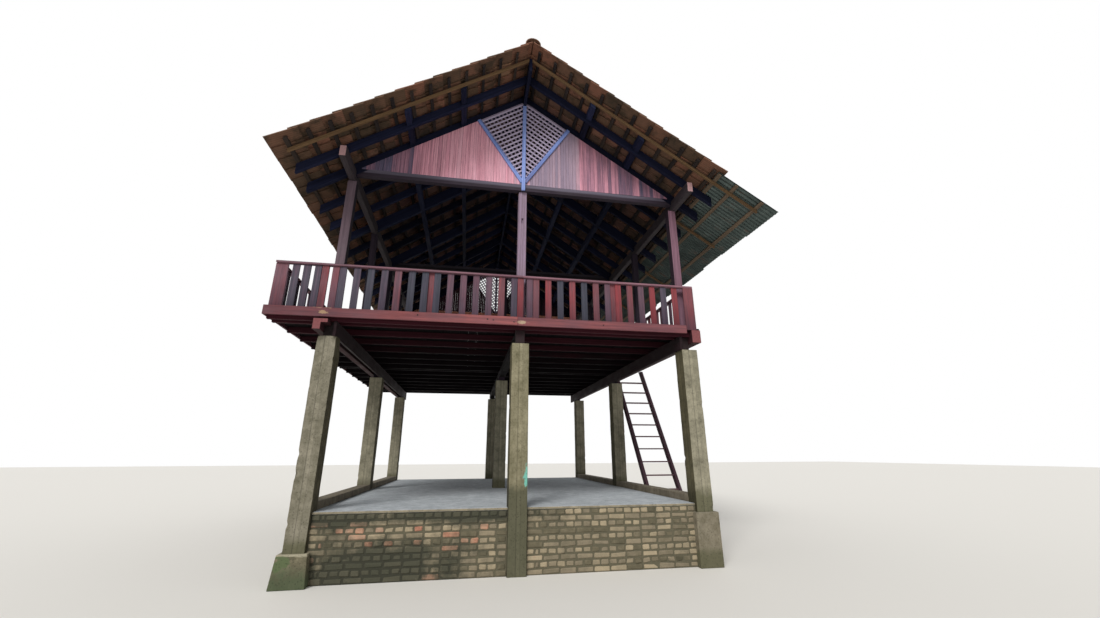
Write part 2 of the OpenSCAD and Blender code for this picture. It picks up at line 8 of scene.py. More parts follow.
# %% Load the frame
import math
import bmesh
import bpy
import numpy as np
from mathutils import Matrix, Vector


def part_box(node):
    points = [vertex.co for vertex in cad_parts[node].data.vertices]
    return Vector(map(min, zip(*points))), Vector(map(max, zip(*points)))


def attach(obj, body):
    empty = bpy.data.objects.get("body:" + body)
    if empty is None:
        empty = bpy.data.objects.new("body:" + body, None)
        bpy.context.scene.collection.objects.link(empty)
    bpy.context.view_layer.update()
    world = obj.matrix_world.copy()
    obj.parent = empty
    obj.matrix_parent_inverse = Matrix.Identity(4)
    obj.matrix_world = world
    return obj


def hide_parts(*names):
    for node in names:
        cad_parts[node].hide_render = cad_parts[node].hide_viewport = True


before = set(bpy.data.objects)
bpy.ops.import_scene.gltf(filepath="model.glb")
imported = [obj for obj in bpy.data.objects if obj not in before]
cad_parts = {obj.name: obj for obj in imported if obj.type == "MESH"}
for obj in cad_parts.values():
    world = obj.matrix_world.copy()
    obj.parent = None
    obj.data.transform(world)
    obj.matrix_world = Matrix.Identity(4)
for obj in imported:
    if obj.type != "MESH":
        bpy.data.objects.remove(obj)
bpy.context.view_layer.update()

# %% [markdown]
# ## The measures that everything follows
# A carpenter sets out a house from a few lines: the column grid, the floor, the
# wall plates and the slope of the roof. They are repeated here in metres, and
# what can be read from the solid model is read from it.

# %% Setting-out lines
BAY_X = 2.640
BAY_Y = 3.550
COLUMN_HALF = 0.125
POST = 0.130
POST_XS = [-BAY_X, 0.0, BAY_X - 0.040]
PITCH = math.radians(33.5)
SIN, COS, TAN = math.sin(PITCH), math.cos(PITCH), math.tan(PITCH)
DECK_LOW, DECK_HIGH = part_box("floor_deck")
PLATE_LOW, PLATE_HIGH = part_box("right_wall_plate")
TIE_LOW, TIE_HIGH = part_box("tie_beams")
FLOOR = DECK_HIGH.z
PLATE_IN, PLATE_TOP = PLATE_LOW.x, PLATE_HIGH.z
APEX = PLATE_TOP + PLATE_IN * TAN
print("floor", round(FLOOR, 3), "plate top", round(PLATE_TOP, 3), "apex", round(APEX, 3))


def roof_height(x, depth):
    """Height of the line that lies a depth above the rafters' underside: the
    plate's top, plus the distance in from the plate times the slope."""
    return PLATE_TOP + (PLATE_IN - np.abs(x)) * TAN + depth / COS


# %% [markdown]
# ## Helpers for materials
# Colours are written as sRGB hex, as a paint chart gives them, and turned to the
# linear values that Blender mixes. One small function adds a node, so that a
# material reads as a short list of what feeds what. Every finish ends in the same
# way: layers are laid over its colour, and one shader takes colour and relief.

# %% Colour and node helpers
def srgb(hex_code):
    """sRGB hex to linear: c / 12.92 below 0.04045, else ((c + 0.055) / 1.055) ^ 2.4."""
    parts = [int(hex_code[i:i + 2], 16) / 255 for i in (1, 3, 5)]
    return [c / 12.92 if c < 0.04045 else ((c + 0.055) / 1.055) ** 2.4 for c in parts] + [1.0]


def add(tree, kind, inputs=None, ramp=None, **settings):
    """Adds one node, sets its settings and its colour ramp, sets or links its inputs,
    and gives back its outputs."""
    made = tree.nodes.new("ShaderNode" + kind)
    for name, value in settings.items():
        setattr(made, name, value)
    if ramp:
        stops = made.color_ramp.elements
        while len(stops) < len(ramp):
            stops.new(0.5)
        for stop, (place, colour) in zip(stops, ramp):
            stop.position = place
            stop.color = srgb(colour)
    for name, value in (inputs or {}).items():
        if isinstance(value, bpy.types.NodeSocket):
            tree.links.new(value, made.inputs[name])
        else:
            made.inputs[name].default_value = value
    return made.outputs


print("mid grey is", [round(part, 3) for part in srgb("#808080")])


# %% The start and the end of a finish
finishes_made = []


def new_finish(name):
    """An empty material, ready for its nodes."""
    finishes_made.append(name)
    material = bpy.data.materials.new(name)
    material.use_nodes = True
    material.node_tree.nodes.clear()
    return material, material.node_tree


def lay_finish(tree, colour, layers, rough, height, relief, dark=None, bite=0.8, shine=0.25):
    """Mixes each layer (amount, shade, way) over the colour in turn, scales the
    result by dark, and gives it to one shader with its roughness and relief."""
    for amount, shade, way in layers:
        colour = add(tree, "Mix", {"Factor": amount, 6: colour, 7: shade},
                     data_type="RGBA", blend_type=way)[2]
    if dark is not None:
        colour = add(tree, "VectorMath", {0: colour, "Scale": dark}, operation="SCALE")[0]
    bump = add(tree, "Bump", {"Height": height, "Strength": bite, "Distance": relief})
    shader = add(tree, "BsdfPrincipled", {
        "Base Color": colour, "Roughness": rough, "Normal": bump[0],
        "IOR": 1.5, "Specular IOR Level": shine})
    add(tree, "OutputMaterial", {"Surface": shader[0]})


# %% Patches and charts of shades
def patch(tree, where, middle, half):
    """1 inside an egg-shaped patch with the given middle and half sizes, and 0
    outside it. Noise with waves as long as the patch pushes its edge in and out."""
    ragged = 1.7
    scaled = add(tree, "VectorMath", {0: where, 1: [1 / h for h in half]}, operation="MULTIPLY")
    away = add(tree, "VectorMath", {0: scaled[0], 1: [m / h for m, h in zip(middle, half)]},
               operation="DISTANCE")
    noise = add(tree, "TexNoise", {"Vector": scaled[0], "Scale": 1.3, "Detail": 5.0,
                                   "Roughness": 0.7})
    pushed = add(tree, "Math", {0: noise["Fac"], 1: 2 * ragged, 2: away["Value"]},
                 operation="MULTIPLY_ADD")
    return add(tree, "MapRange", {"Value": pushed[0], "From Min": 1.1 + ragged,
                                  "From Max": 0.8 + ragged})[0]


def spread_ramp(shades, start=0.0, span=1.0):
    """The shades of a list as stops at equal distances over a span."""
    return [(start + span * i / (len(shades) - 1), shade) for i, shade in enumerate(shades)]


print("three stops", spread_ramp(["#000000", "#808080", "#ffffff"]))


# %% [markdown]
# ## Sawn and weathered timber
# Nearly all of the house is tropical hardwood, sawn, planed at most once and left
# to the weather. Three things are seen: each board has a tone of its own, long
# streaks follow the grain, and the fibres stand up a little. A pattern on the
# house's own coordinates would run on from board to board, so every board carries
# a point attribute "grain", its own coordinates in metres along, across and
# through, and an attribute "tone", its place on the chart of shades.

# %% What lies over a timber's colour
CLEAN_TONE = 0.25


def over_timber(tree, tone, darker, ends, inner, tints, marks):
    """Layers (amount, shade, way). A tint (axis, from, to, shade) multiplies the
    colour past a place, and a mark (middle, half sizes, shade) is a patch. inner
    multiplies the faces that look into the house, a painted shade: their normal points
    against the way out from the middle. ends is the shade of faces along y, above the clean tone."""
    coordinates = add(tree, "TexCoord")
    where, normal = coordinates["Object"], coordinates["Normal"]
    apart = add(tree, "SeparateXYZ", {0: where})
    layers = []
    for axis, clear, full, tint in tints:
        amount = add(tree, "MapRange", {"Value": apart[axis], "From Min": clear, "From Max": full})
        layers.append((amount[0], srgb(tint), "MULTIPLY"))
    layers += [(patch(tree, where, middle, half), srgb(mark), "MIX") for middle, half, mark in marks]
    if inner:
        outward = add(tree, "VectorMath", {0: where, 1: (1 / BAY_X, 1 / BAY_Y, 0)}, operation="MULTIPLY")
        facing = add(tree, "VectorMath", {0: outward[0], 1: normal}, operation="DOT_PRODUCT")
        amount = add(tree, "MapRange", {"Value": facing["Value"], "From Min": -0.5, "From Max": -0.8})
        layers.append((amount[0], srgb(inner), "MULTIPLY"))
    if ends:
        turned = add(tree, "Math", {0: add(tree, "SeparateXYZ", {0: normal})["Y"]}, operation="ABSOLUTE")
        clean = add(tree, "Math", {0: tone, 1: CLEAN_TONE}, operation="GREATER_THAN")
        amount = add(tree, "MapRange", {"Value": turned[0], "From Min": 0.7, "From Max": 0.9,
                                        "To Max": clean[0]})
        end_grain = add(tree, "VectorMath", {0: srgb(ends)[:3], "Scale": darker[0]}, operation="SCALE")
        layers.append((amount[0], end_grain[0], "MIX"))
    return layers


# %% Timber material
# Waves to a metre along and across the grain, from the sizes seen: streaks 26 mm wide
# and 900 mm long, blotches 200 mm by 450 mm, and fibres 4 mm by 110 mm. Real fibres
# are under 1 mm wide, too fine to show, so they are drawn this coarse.
GRAIN_SCALES = ((1.1, 38.0), (2.2, 5.0), (9.0, 240.0))
FIBRE_RELIEF = 0.0012
print("streaks, blotches and fibres in mm", [round(1000 / across) for _, across in GRAIN_SCALES])


def timber(name, shades, streaks=0.5, blotches=0.4, rough=(0.62, 0.88), shine=0.35,
           contrast=0.12, ends=None, inner=None, tints=(), marks=()):
    """Timber: the tone, pushed about by streaks 25 mm wide and by blotches about
    0.4 m long, picks the shade, and both streaks and fibres 4 mm wide darken it."""
    material, tree = new_finish(name)
    grain = add(tree, "Attribute", attribute_name="grain")["Vector"]
    tone = add(tree, "Attribute", attribute_name="tone")["Fac"]
    noises = []
    for along, across in GRAIN_SCALES:
        scaled = add(tree, "VectorMath", {0: grain, 1: (along, across, across)}, operation="MULTIPLY")
        noises.append(add(tree, "TexNoise", {"Vector": scaled[0], "Scale": 1.0, "Detail": 4.0,
                                             "Roughness": 0.6})["Fac"])
    streak, blotch, fibre = noises
    pushed = add(tree, "Math", {0: streak, 1: streaks, 2: tone}, operation="MULTIPLY_ADD")
    placed = add(tree, "Math", {0: blotch, 1: blotches, 2: pushed[0]}, operation="MULTIPLY_ADD")
    level = add(tree, "Math", {0: placed[0], 1: (streaks + blotches) / 2},
                operation="SUBTRACT", use_clamp=True)
    shade = add(tree, "ValToRGB", {"Fac": level[0]}, ramp=spread_ramp(shades))
    lines = add(tree, "Math", {0: fibre, 1: streak}, operation="ADD")
    darker = add(tree, "MapRange", {"Value": lines[0], "From Min": 0.75, "From Max": 1.25,
                                    "To Min": 1 - 2 * contrast, "To Max": 1 + contrast})
    colour = add(tree, "VectorMath", {0: shade["Color"], "Scale": darker[0]}, operation="SCALE")
    layers = over_timber(tree, tone, darker, ends, inner, tints, marks)
    dull = add(tree, "MapRange", {"Value": blotch, "From Min": 0.3, "From Max": 0.7,
                                  "To Min": rough[0], "To Max": rough[1]})
    lay_finish(tree, colour[0], layers, dull[0], lines[0], FIBRE_RELIEF, bite=0.6, shine=shine)
    return material


# %% Timbers of the railing and the floor's edge
EDGE_T = 0.025
EDGE_FRONT = DECK_LOW.y - EDGE_T
# Stained hardwood, worn unevenly: from slate where the stain is gone to bright red-brown.
# Splashed rain keeps the foot of each board darker.
RAILING_WOOD = timber("stained_hardwood_railing",
                      ["#383b47", "#4d4553", "#664956", "#76454c", "#87393f"],
                      streaks=0.45, blotches=0.45, contrast=0.18,
                      tints=[("Z", FLOOR + 0.45, FLOOR, "#b9b6c4")])
# The handrail catches rain and sun, and goes a dusty mauve.
RAIL_WOOD = timber("weathered_hardwood_handrail", ["#5c414d", "#7b5863", "#966c79"], streaks=0.7,
                   contrast=0.18)
# The edge boards keep more of their red stain towards the middle and are greyer at
# the left. Pale scrapes show where they meet a post, and dark specks where nails went in.
SCRAPES = [((x, EDGE_FRONT, z), (half_x, 0.05, half_z), shade) for x, z, half_x, half_z, shade in (
    (-2.79, 3.385, 0.07, 0.018, "#93705f"), (-2.65, 3.385, 0.05, 0.016, "#93705f"),
    (-2.72, 3.308, 0.06, 0.022, "#987a5e"), (0.01, 3.296, 0.065, 0.022, "#ab927c"))]
SPECKS = [((x, EDGE_FRONT, z), (0.012, 0.05, 0.012), "#1c1416")
          for x, z in ((-1.471, 3.331), (-0.495, 3.320), (-0.410, 3.310), (-0.113, 3.294), (1.24, 3.31))]
FASCIA_WOOD = timber("stained_hardwood_edge_board", ["#4a3b44", "#6b434b", "#824b4e", "#985552"],
                     streaks=0.6, blotches=0.8, contrast=0.16, tints=[("X", -0.6, -2.6, "#bcbccc")],
                     marks=SCRAPES + SPECKS)
print("marks on the edge boards", len(SCRAPES + SPECKS))

# %% Timbers of the posts, the ties and the gables
# Posts: planed hardwood, greyed to mauve with long dark streaks. Under the floor they are
# painted dark red, and the faces that look into the house darker: both are painted shade.
POST_WOOD = timber("planed_hardwood_post", ["#4c4049", "#6a5862", "#867280", "#937f99"], streaks=0.5,
                   blotches=0.3, contrast=0.16, inner="#50485c",
                   tints=[("Z", DECK_LOW.z + 0.01, DECK_LOW.z - 0.04, "#422628"),
                          ("X", 1.4, 2.6, "#f4d4dc")])
# The posts of the middle row and of the side bays stand in shade, painted nearly black as shade.
SHADED_POST_WOOD = timber("shaded_hardwood_post", ["#17141e", "#27212d", "#3b303b"], contrast=0.16,
                          shine=0.2)
# Gable boards: kept dry by the roof, pink-brown with pale streaks, and greyer right of the
# middle. Their inner faces are multiplied darker as painted shade.
FRAME_FACE = BAY_Y + 0.080
GABLE_WOODS = {end: timber(
    "hardwood_gable_board" + word, ["#5e5770", "#966e82", "#d696a8", "#e8adbe", "#ac93a4", "#928296"],
    streaks=0.35, blotches=0.25, contrast=0.16,
    tints=[("Y", end * (FRAME_FACE + 0.012), end * (FRAME_FACE + 0.004), "#50404a")])
    for end, word in ((-1, ""), (1, "_rear"))}
# Blue gloss paint on the cover strips, rubbed through to the brown wood in streaks.
BLUE_PAINT = timber("worn_blue_paint_on_wood", ["#6a6286", "#6f84c2", "#8aa0de", "#a9baf0"],
                    streaks=0.9, blotches=0.6, rough=(0.45, 0.7))
# Lattice laths: thin wood, pale mauve, the layer behind set to a darker tone as painted shade.
LATTICE_WOOD = timber("hardwood_lattice_lath", ["#5c4f62", "#83758a", "#aea2bc", "#ccc1dc"],
                      streaks=0.3, blotches=0.2)
# Ties: grey-brown beams, their lower parts darker and redder than their tops. The rear one
# is red, and takes the brightest shade and a pale patch on its inner half as painted light
# from behind; its outer face is multiplied darker again.
TIE_WOOD = timber("sawn_hardwood_tie", ["#241f26", "#453f4c", "#6a6474", "#d89a80"],
                  streaks=0.4, blotches=0.2,
                  tints=[("Z", TIE_HIGH.z - 0.045, TIE_HIGH.z - 0.070, "#82707c"),
                         ("Y", BAY_Y - 0.02, BAY_Y + 0.06, "#947c74")],
                  marks=[((0, BAY_Y - 0.045, TIE_HIGH.z - 0.08), (9.0, 0.06, 0.8), "#f0a088")])

# %% Dark timbers and rough ones
# Wall plates: dark beams with pale, freshly checked ends.
PLATE_WOOD = timber("dark_hardwood_plate", ["#1d191d", "#322a2f", "#4a4044"], ends="#b48e90")
# Rafters, purlins and ridge: blackened by smoke, and painted darker and blue-black as shade.
RAFTER_WOOD = timber("smoke_and_shade_dark_rafter", ["#0d0f1e", "#161a31", "#252a45"], streaks=0.6, shine=0.15)
# Joists: very dark red-brown, painted near-black as the shade under the floor, and lighter
# and redder towards the front as painted daylight.
JOIST_WOOD = timber("dark_red_joist", ["#070508", "#11090d", "#431c25"], streaks=0.4, blotches=0.3,
                    shine=0.1)
# Floor boards from below: dark, and painted nearly black as the shade under the floor.
DECK_WOOD = timber("dark_floor_board", ["#050406", "#0a0709", "#120c0f"], shine=0.1)
# The beams along both edges are painted as dark as the joists with the shade under the
# floor, and have pinkish-red ends. The planks that lie along them on the column heads are
# painted dark all round as shade.
EDGE_BEAM_WOOD = timber("red_hardwood_edge_beam", ["#1c0f13", "#2d161b", "#472226"],
                        ends="#7e4b4d", shine=0.2)
# Battens: rough-sawn softwood, dark brown under the tiles and lighter under the sheets.
BATTEN_WOOD = timber("rough_batten", ["#1b1618", "#2c2421", "#41352d", "#756452"], streaks=0.3,
                     blotches=0.2, rough=(0.75, 0.95))
# Poles at the verges: rough-sawn, dusty yellow-brown.
POLE_WOOD = timber("light_verge_pole", ["#4d3b28", "#6e553a", "#8a6f4e"], streaks=0.7,
                   rough=(0.75, 0.95))
# Ladder: painted once in a dark red, mostly worn off.
LADDER_WOOD = timber("worn_ladder_wood", ["#37242c", "#523540", "#7b595f"], streaks=0.4)
print("timber finishes", len(finishes_made))

# %% [markdown]
# ## Helpers for meshes
# numpy works out whole arrays of points, and foreach_set puts them into the mesh,
# which is many times quicker than adding one point after another. A timber is a
# box with its arrises taken off. A Bevel modifier could do that, but a thousand
# boards and bricks are quicker as arrays: each of a box's eight corners becomes
# three points, each one pulled in along two of the three edges.


# %% From arrays to a piece
def mark_points(mesh, grain, tone):
    """Writes the point attributes that the finishes read."""
    for name, kind, key, values in (("grain", "FLOAT_VECTOR", "vector", grain),
                                    ("tone", "FLOAT", "value", tone)):
        if values is not None:
            held = mesh.attributes.new(name, kind, "POINT")
            held.data.foreach_set(key, np.ascontiguousarray(values, np.float32).ravel())


def piece(name, points, faces, finishes, grain=None, tone=None, which=0):
    """A mesh object from points (n, 3) and a list of face arrays, each with equal
    sides. which is the number of each face's finish."""
    mesh = bpy.data.meshes.new(name)
    sides = np.concatenate([np.full(len(f), f.shape[1]) for f in faces])
    corners = np.concatenate([f.ravel() for f in faces]).astype(np.int32)
    mesh.vertices.add(len(points))
    mesh.loops.add(len(corners))
    mesh.polygons.add(len(sides))
    mesh.vertices.foreach_set("co", np.ascontiguousarray(points, np.float32).ravel())
    mesh.loops.foreach_set("vertex_index", corners)
    starts = np.concatenate([[0], np.cumsum(sides)[:-1]]).astype(np.int32)
    mesh.polygons.foreach_set("loop_start", starts)
    for finish in finishes:
        mesh.materials.append(finish)
    numbers = np.broadcast_to(which, len(sides)).astype(np.int32)
    mesh.polygons.foreach_set("material_index", numbers)
    mesh.polygons.foreach_set("use_smooth", np.zeros(len(sides), bool))
    mesh.update(calc_edges=True)
    mark_points(mesh, grain, tone)
    made = bpy.data.objects.new(name, mesh)
    bpy.context.scene.collection.objects.link(made)
    return made


def place(made, slot, *nodes):
    """The piece rides on the house and stands for CAD nodes, which it hides. slot is not used."""
    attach(made, "root")
    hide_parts(*nodes)
    return made


def chance_of(name):
    """A random generator that is the same for the same name on every run."""
    return np.random.default_rng(sum(ord(letter) * (i + 3) for i, letter in enumerate(name)))


# %% The chamfered box
CORNERS = np.array([[i, j, k] for i in (0, 1) for j in (0, 1) for k in (0, 1)])


def chamfer_faces():
    """The 6 faces, 12 edges and 8 corners of a chamfered box, as numbers of its 24
    points: point 3 c + a is corner c, left at its full reach along axis a. A corner's
    number is 4 i + 2 j + k."""
    unit = np.repeat(CORNERS + 0.2 * (1 - 2 * CORNERS), 3, axis=0)
    quads = []
    for a in range(3):
        unit[a::3, a] = CORNERS[:, a]
        b, c = (a + 1) % 3, (a + 2) % 3
        step_a, step_b, step_c = (3 * (4, 2, 1)[axis] for axis in (a, b, c))
        for s in (0, 1):
            quads.append([s * step_a + q * step_b + r * step_c + a
                          for q, r in ((0, 0), (1, 0), (1, 1), (0, 1))])
            for t in (0, 1):
                first = s * step_b + t * step_c
                last = first + step_a
                quads.append([first + b, last + b, last + c, first + c])
    triangles = np.arange(24).reshape(8, 3).tolist()

    def outward(loop):
        """Turns a face round if its normal points to the middle of the box."""
        p = unit[loop]
        facing = np.cross(p[1] - p[0], p[2] - p[0]) @ (p.mean(0) - 0.5)
        return loop if facing > 0 else loop[::-1]

    return np.array([outward(q) for q in quads]), np.array([outward(t) for t in triangles])


BOX_QUADS, BOX_TRIANGLES = chamfer_faces()
print("a chamfered box has", len(BOX_QUADS) + len(BOX_TRIANGLES), "faces")


# %% Boxes and beams by their corners
def boxes(low, high):
    """The eight corners of upright boxes between arrays of low and high corners."""
    low, high = np.atleast_2d(low).astype(float), np.atleast_2d(high).astype(float)
    return low[:, None, :] + CORNERS[None] * (high - low)[:, None, :]


print("the corners of two boxes", boxes([[0, 0, 0], [2, 0, 0]], [[1, 1, 1], [3, 1, 1]]).shape)


def beam(start, end, side, width, depth):
    """The eight corners of a beam from start to end: the start, plus the run or not,
    plus or minus half the width along the side and half the depth square to both."""
    start, side = np.asarray(start, float), np.asarray(side, float)
    run = end - start
    third = np.cross(run, side)
    third = third / np.linalg.norm(third)
    i, j, k = CORNERS.T[:, :, None]
    return (start + i * run + (j - 0.5) * width * side / np.linalg.norm(side)
            + (k - 0.5) * depth * third)[None]


def timber_parts(corners, name, arris=0.003, tone=None, wobble=0.0006):
    """Points, faces, grain and tone of chamfered boxes with the given corners (n, 8, 3).
    Each point is the mix of its box's corners by how near it lies to each."""
    chance = chance_of(name)
    corners = corners + chance.normal(0, wobble, corners.shape)
    count = len(corners)
    lengths = np.stack([
        np.linalg.norm(corners[:, CORNERS[:, a] == 1] - corners[:, CORNERS[:, a] == 0], axis=2).mean(1)
        for a in range(3)], axis=1)
    inset = np.minimum(arris / np.maximum(lengths, 1e-6), 0.3)
    base = np.repeat(CORNERS, 3, axis=0)[None].astype(float)
    unit = base + inset[:, None, :] * (1 - 2 * base)
    for a in range(3):
        unit[:, a::3, a] = base[:, a::3, a]
    near = np.where(CORNERS[None, None] == 1, unit[:, :, None, :], 1 - unit[:, :, None, :])
    points = np.einsum("npc,ncx->npx", near.prod(axis=3), corners)
    order = np.argsort(-lengths, axis=1)
    local = np.take_along_axis(unit * lengths[:, None, :], np.repeat(order[:, None], 24, 1), axis=2)
    local = local + chance.uniform(0, 40, (count, 1, 3))
    if tone is None:
        tone = chance.uniform(0.15, 0.85, count)
    turned = np.linalg.det(corners[:, [4, 2, 1]] - corners[:, :1]) < 0
    faces = []
    for template in (BOX_QUADS, BOX_TRIANGLES):
        loops = 24 * np.arange(count)[:, None, None] + template[None]
        loops[turned] = loops[turned][:, :, ::-1]
        faces.append(loops.reshape(-1, template.shape[1]))
    return points.reshape(-1, 3), faces, local.reshape(-1, 3), np.repeat(tone, 24)


# %% Pieces of many timbers
def joined(name, parts, finishes):
    """One piece from sets of chamfered boxes, each set with its own finish: the point
    numbers in a set's faces move on by the points before it."""
    shifts = np.cumsum([0] + [len(part[0]) for part in parts[:-1]])
    faces = [f + shift for part, shift in zip(parts, shifts) for f in part[1]]
    points, grain, tone = (np.concatenate([part[k] for part in parts]) for k in (0, 2, 3))
    which = np.repeat(np.arange(len(parts)), [sum(len(f) for f in part[1]) for part in parts])
    return piece(name, points, faces, finishes, grain, tone, which)


def timbers(name, corners, finish, **options):
    """One piece of chamfered boxes with one finish."""
    return joined(name, [timber_parts(corners, name, **options)], [finish])


# %% [markdown]
# ## Dressing a solid as it is
# Beams, rafters and posts already have their right shape in the solid model, so
# making them again would gain nothing. A copy of each is merged into clean faces,
# its arrises are taken off by a Bevel modifier, which follows any cut end, and
# each timber in it gets a grain and a tone of its own.


# %% A dressed copy of a CAD node
def islands(count, edges):
    """The number of the solid that each point belongs to: every point takes the
    lowest number among its neighbours until nothing changes."""
    label = np.arange(count)
    while True:
        lower = np.minimum(label[edges[:, 0]], label[edges[:, 1]])
        fresh = label.copy()
        np.minimum.at(fresh, edges[:, 0], lower)
        np.minimum.at(fresh, edges[:, 1], lower)
        if (fresh == label).all():
            return np.unique(label, return_inverse=True)[1]
        label = fresh


def axes_of(run, points):
    """Grain coordinates along, across and through for a run along x, y, z or the slope."""
    x, y, z = points.T
    if run == "slope":
        return np.stack([np.abs(x) * COS - z * SIN, y, np.abs(x) * SIN + z * COS], axis=1)
    order = {"x": (0, 1, 2), "y": (1, 0, 2), "z": (2, 0, 1)}[run]
    return points[:, order]


def dress(node, slot, finish, run="x", arris=0.004, segments=1, tones=(0.15, 0.85)):
    """A merged copy of a CAD node with bevelled arrises and its grain along run. tones
    is a range to draw from, or a function of the middles of its solids."""
    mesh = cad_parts[node].data.copy()
    mesh.name = node + "_dressed"
    work = bmesh.new()
    work.from_mesh(mesh)
    bmesh.ops.remove_doubles(work, verts=work.verts, dist=1e-5)
    bmesh.ops.dissolve_limit(work, angle_limit=0.02, verts=work.verts, edges=work.edges)
    work.to_mesh(mesh)
    work.free()
    mesh.materials.clear()
    mesh.materials.append(finish)
    points = np.empty(len(mesh.vertices) * 3, np.float32)
    mesh.vertices.foreach_get("co", points)
    points = points.reshape(-1, 3)
    edges = np.empty(len(mesh.edges) * 2, np.int32)
    mesh.edges.foreach_get("vertices", edges)
    solid = islands(len(points), edges.reshape(-1, 2))
    solids = solid.max() + 1
    chance = chance_of(node)
    grain = axes_of(run, points) + chance.uniform(0, 40, (solids, 3))[solid]
    middles = np.stack([np.bincount(solid, points[:, a]) for a in range(3)], 1)
    middles = middles / np.bincount(solid)[:, None]
    tone = tones(middles) if callable(tones) else chance.uniform(*tones, solids)
    mark_points(mesh, grain, tone[solid])
    mesh.polygons.foreach_set("use_smooth", np.zeros(len(mesh.polygons), bool))
    made = bpy.data.objects.new(node + "_dressed", mesh)
    bpy.context.scene.collection.objects.link(made)
    bevel = made.modifiers.new("arris", "BEVEL")
    bevel.width = arris
    bevel.segments = segments
    bevel.limit_method = "ANGLE"
    bevel.angle_limit = math.radians(30)
    place(made, slot, node)
    print("dressed", node, "with its solids:", solids)


# %% [markdown]
# ## Cast concrete
# The columns were cast in rough board moulds. Their corners are uneven and
# chipped, a faint seam runs up the middle of each side, and rain has drawn dark
# streaks down from the top, with moss and dirt at the foot. Sculpting would give
# all that too, but a formula can be changed later: a square section with rounded
# corners is carried up the column, and pushed in and out by slow waves.


# %% The seams that the moulds leave
def mould_seams(tree, dark, blotch, seams):
    """Darkens by lines (place, width, depth) up each face, which are drawn from the
    place across it that the attribute grain holds: each takes away its depth times
    the blotches, fading out over half its width."""
    face = add(tree, "Attribute", attribute_name="grain")["Vector"]
    place_across = add(tree, "SeparateXYZ", {0: face})["X"]
    for line, width, depth in seams:
        away = add(tree, "Math", {0: place_across, 1: line}, operation="SUBTRACT")
        near = add(tree, "Math", {0: away[0]}, operation="ABSOLUTE")
        drawn = add(tree, "MapRange", {"Value": near[0], "From Min": width, "From Max": width / 2,
                                       "To Max": depth})
        broken = add(tree, "Math", {0: drawn[0], 1: blotch}, operation="MULTIPLY")
        kept = add(tree, "Math", {0: 1.0, 1: broken[0]}, operation="SUBTRACT")
        dark = add(tree, "Math", {0: dark, 1: kept[0]}, operation="MULTIPLY")[0]
    return dark


# %% Concrete material
# Waves to a metre: blotches 180 mm across, runs 62 mm wide and 1100 mm long, pits one
# to 29 mm, and grit of 14 mm. Real grit is 1 to 3 mm, too fine to show, so it is drawn
# this coarse.
CAST_BLOTCHES, CAST_RUNS, CAST_PITS, CAST_GRIT = 5.5, (16.0, 16.0, 0.9), 34.0, 70.0
PIT_RELIEF = 0.004


def concrete(name, shades, foot=0.0, rise=0.25, damp="#55543f", side=None, across=(0, 1, 0),
             seams=(), marks=()):
    """Concrete: the blotches pick the shade, with faint runs down it, and it turns to the
    damp shade below the foot's height, by a ragged edge over the rise. Pits and grit
    darken it. Faces that don't look along the across direction are multiplied by the
    side shade."""
    material, tree = new_finish(name)
    coordinates = add(tree, "TexCoord")
    where = coordinates["Object"]
    blotch = add(tree, "TexNoise", {"Vector": where, "Scale": CAST_BLOTCHES, "Detail": 8.0,
                                    "Roughness": 0.74})["Fac"]
    fine = add(tree, "TexNoise", {"Vector": where, "Scale": CAST_GRIT, "Detail": 4.0,
                                  "Roughness": 0.7})
    drawn = add(tree, "VectorMath", {0: where, 1: CAST_RUNS}, operation="MULTIPLY")
    streak = add(tree, "TexNoise", {"Vector": drawn[0], "Scale": 1.0, "Detail": 4.0})
    level = add(tree, "Math", {0: streak["Fac"], 1: 0.25, 2: blotch}, operation="MULTIPLY_ADD")
    shade = add(tree, "ValToRGB", {"Fac": level[0]}, ramp=spread_ramp(shades, 0.38, 0.5))
    height = add(tree, "SeparateXYZ", {0: where})["Z"]
    low = add(tree, "MapRange", {"Value": height, "From Min": foot + rise, "From Max": foot})
    ragged = add(tree, "Math", {0: blotch, 1: low[0]}, operation="MULTIPLY")
    wet = add(tree, "MapRange", {"Value": ragged[0], "From Min": 0.22, "From Max": 0.38,
                                 "To Max": 0.85})
    layers = [(wet[0], srgb(damp), "MIX")]
    layers += [(patch(tree, where, middle, half), srgb(mark), "MIX") for middle, half, mark in marks]
    if side:
        facing = add(tree, "VectorMath", {0: coordinates["Normal"], 1: across},
                     operation="DOT_PRODUCT")
        turned = add(tree, "Math", {0: facing["Value"]}, operation="ABSOLUTE")
        aside = add(tree, "MapRange", {"Value": turned[0], "From Min": 0.85, "From Max": 0.4})
        layers.append((aside[0], srgb(side), "MULTIPLY"))
    pits = add(tree, "TexVoronoi", {"Vector": where, "Scale": CAST_PITS})
    holes = add(tree, "MapRange", {"Value": pits["Distance"], "From Min": 0.10, "From Max": 0.30})
    relief = add(tree, "Math", {0: fine["Fac"], 1: holes[0]}, operation="ADD")[0]
    dark = add(tree, "MapRange", {"Value": relief, "From Min": 0.3, "From Max": 1.6,
                                  "To Min": 0.62, "To Max": 1.1})[0]
    if seams:
        dark = mould_seams(tree, dark, blotch, seams)
    lay_finish(tree, shade["Color"], layers, 0.9, relief, PIT_RELIEF, dark=dark)
    return material
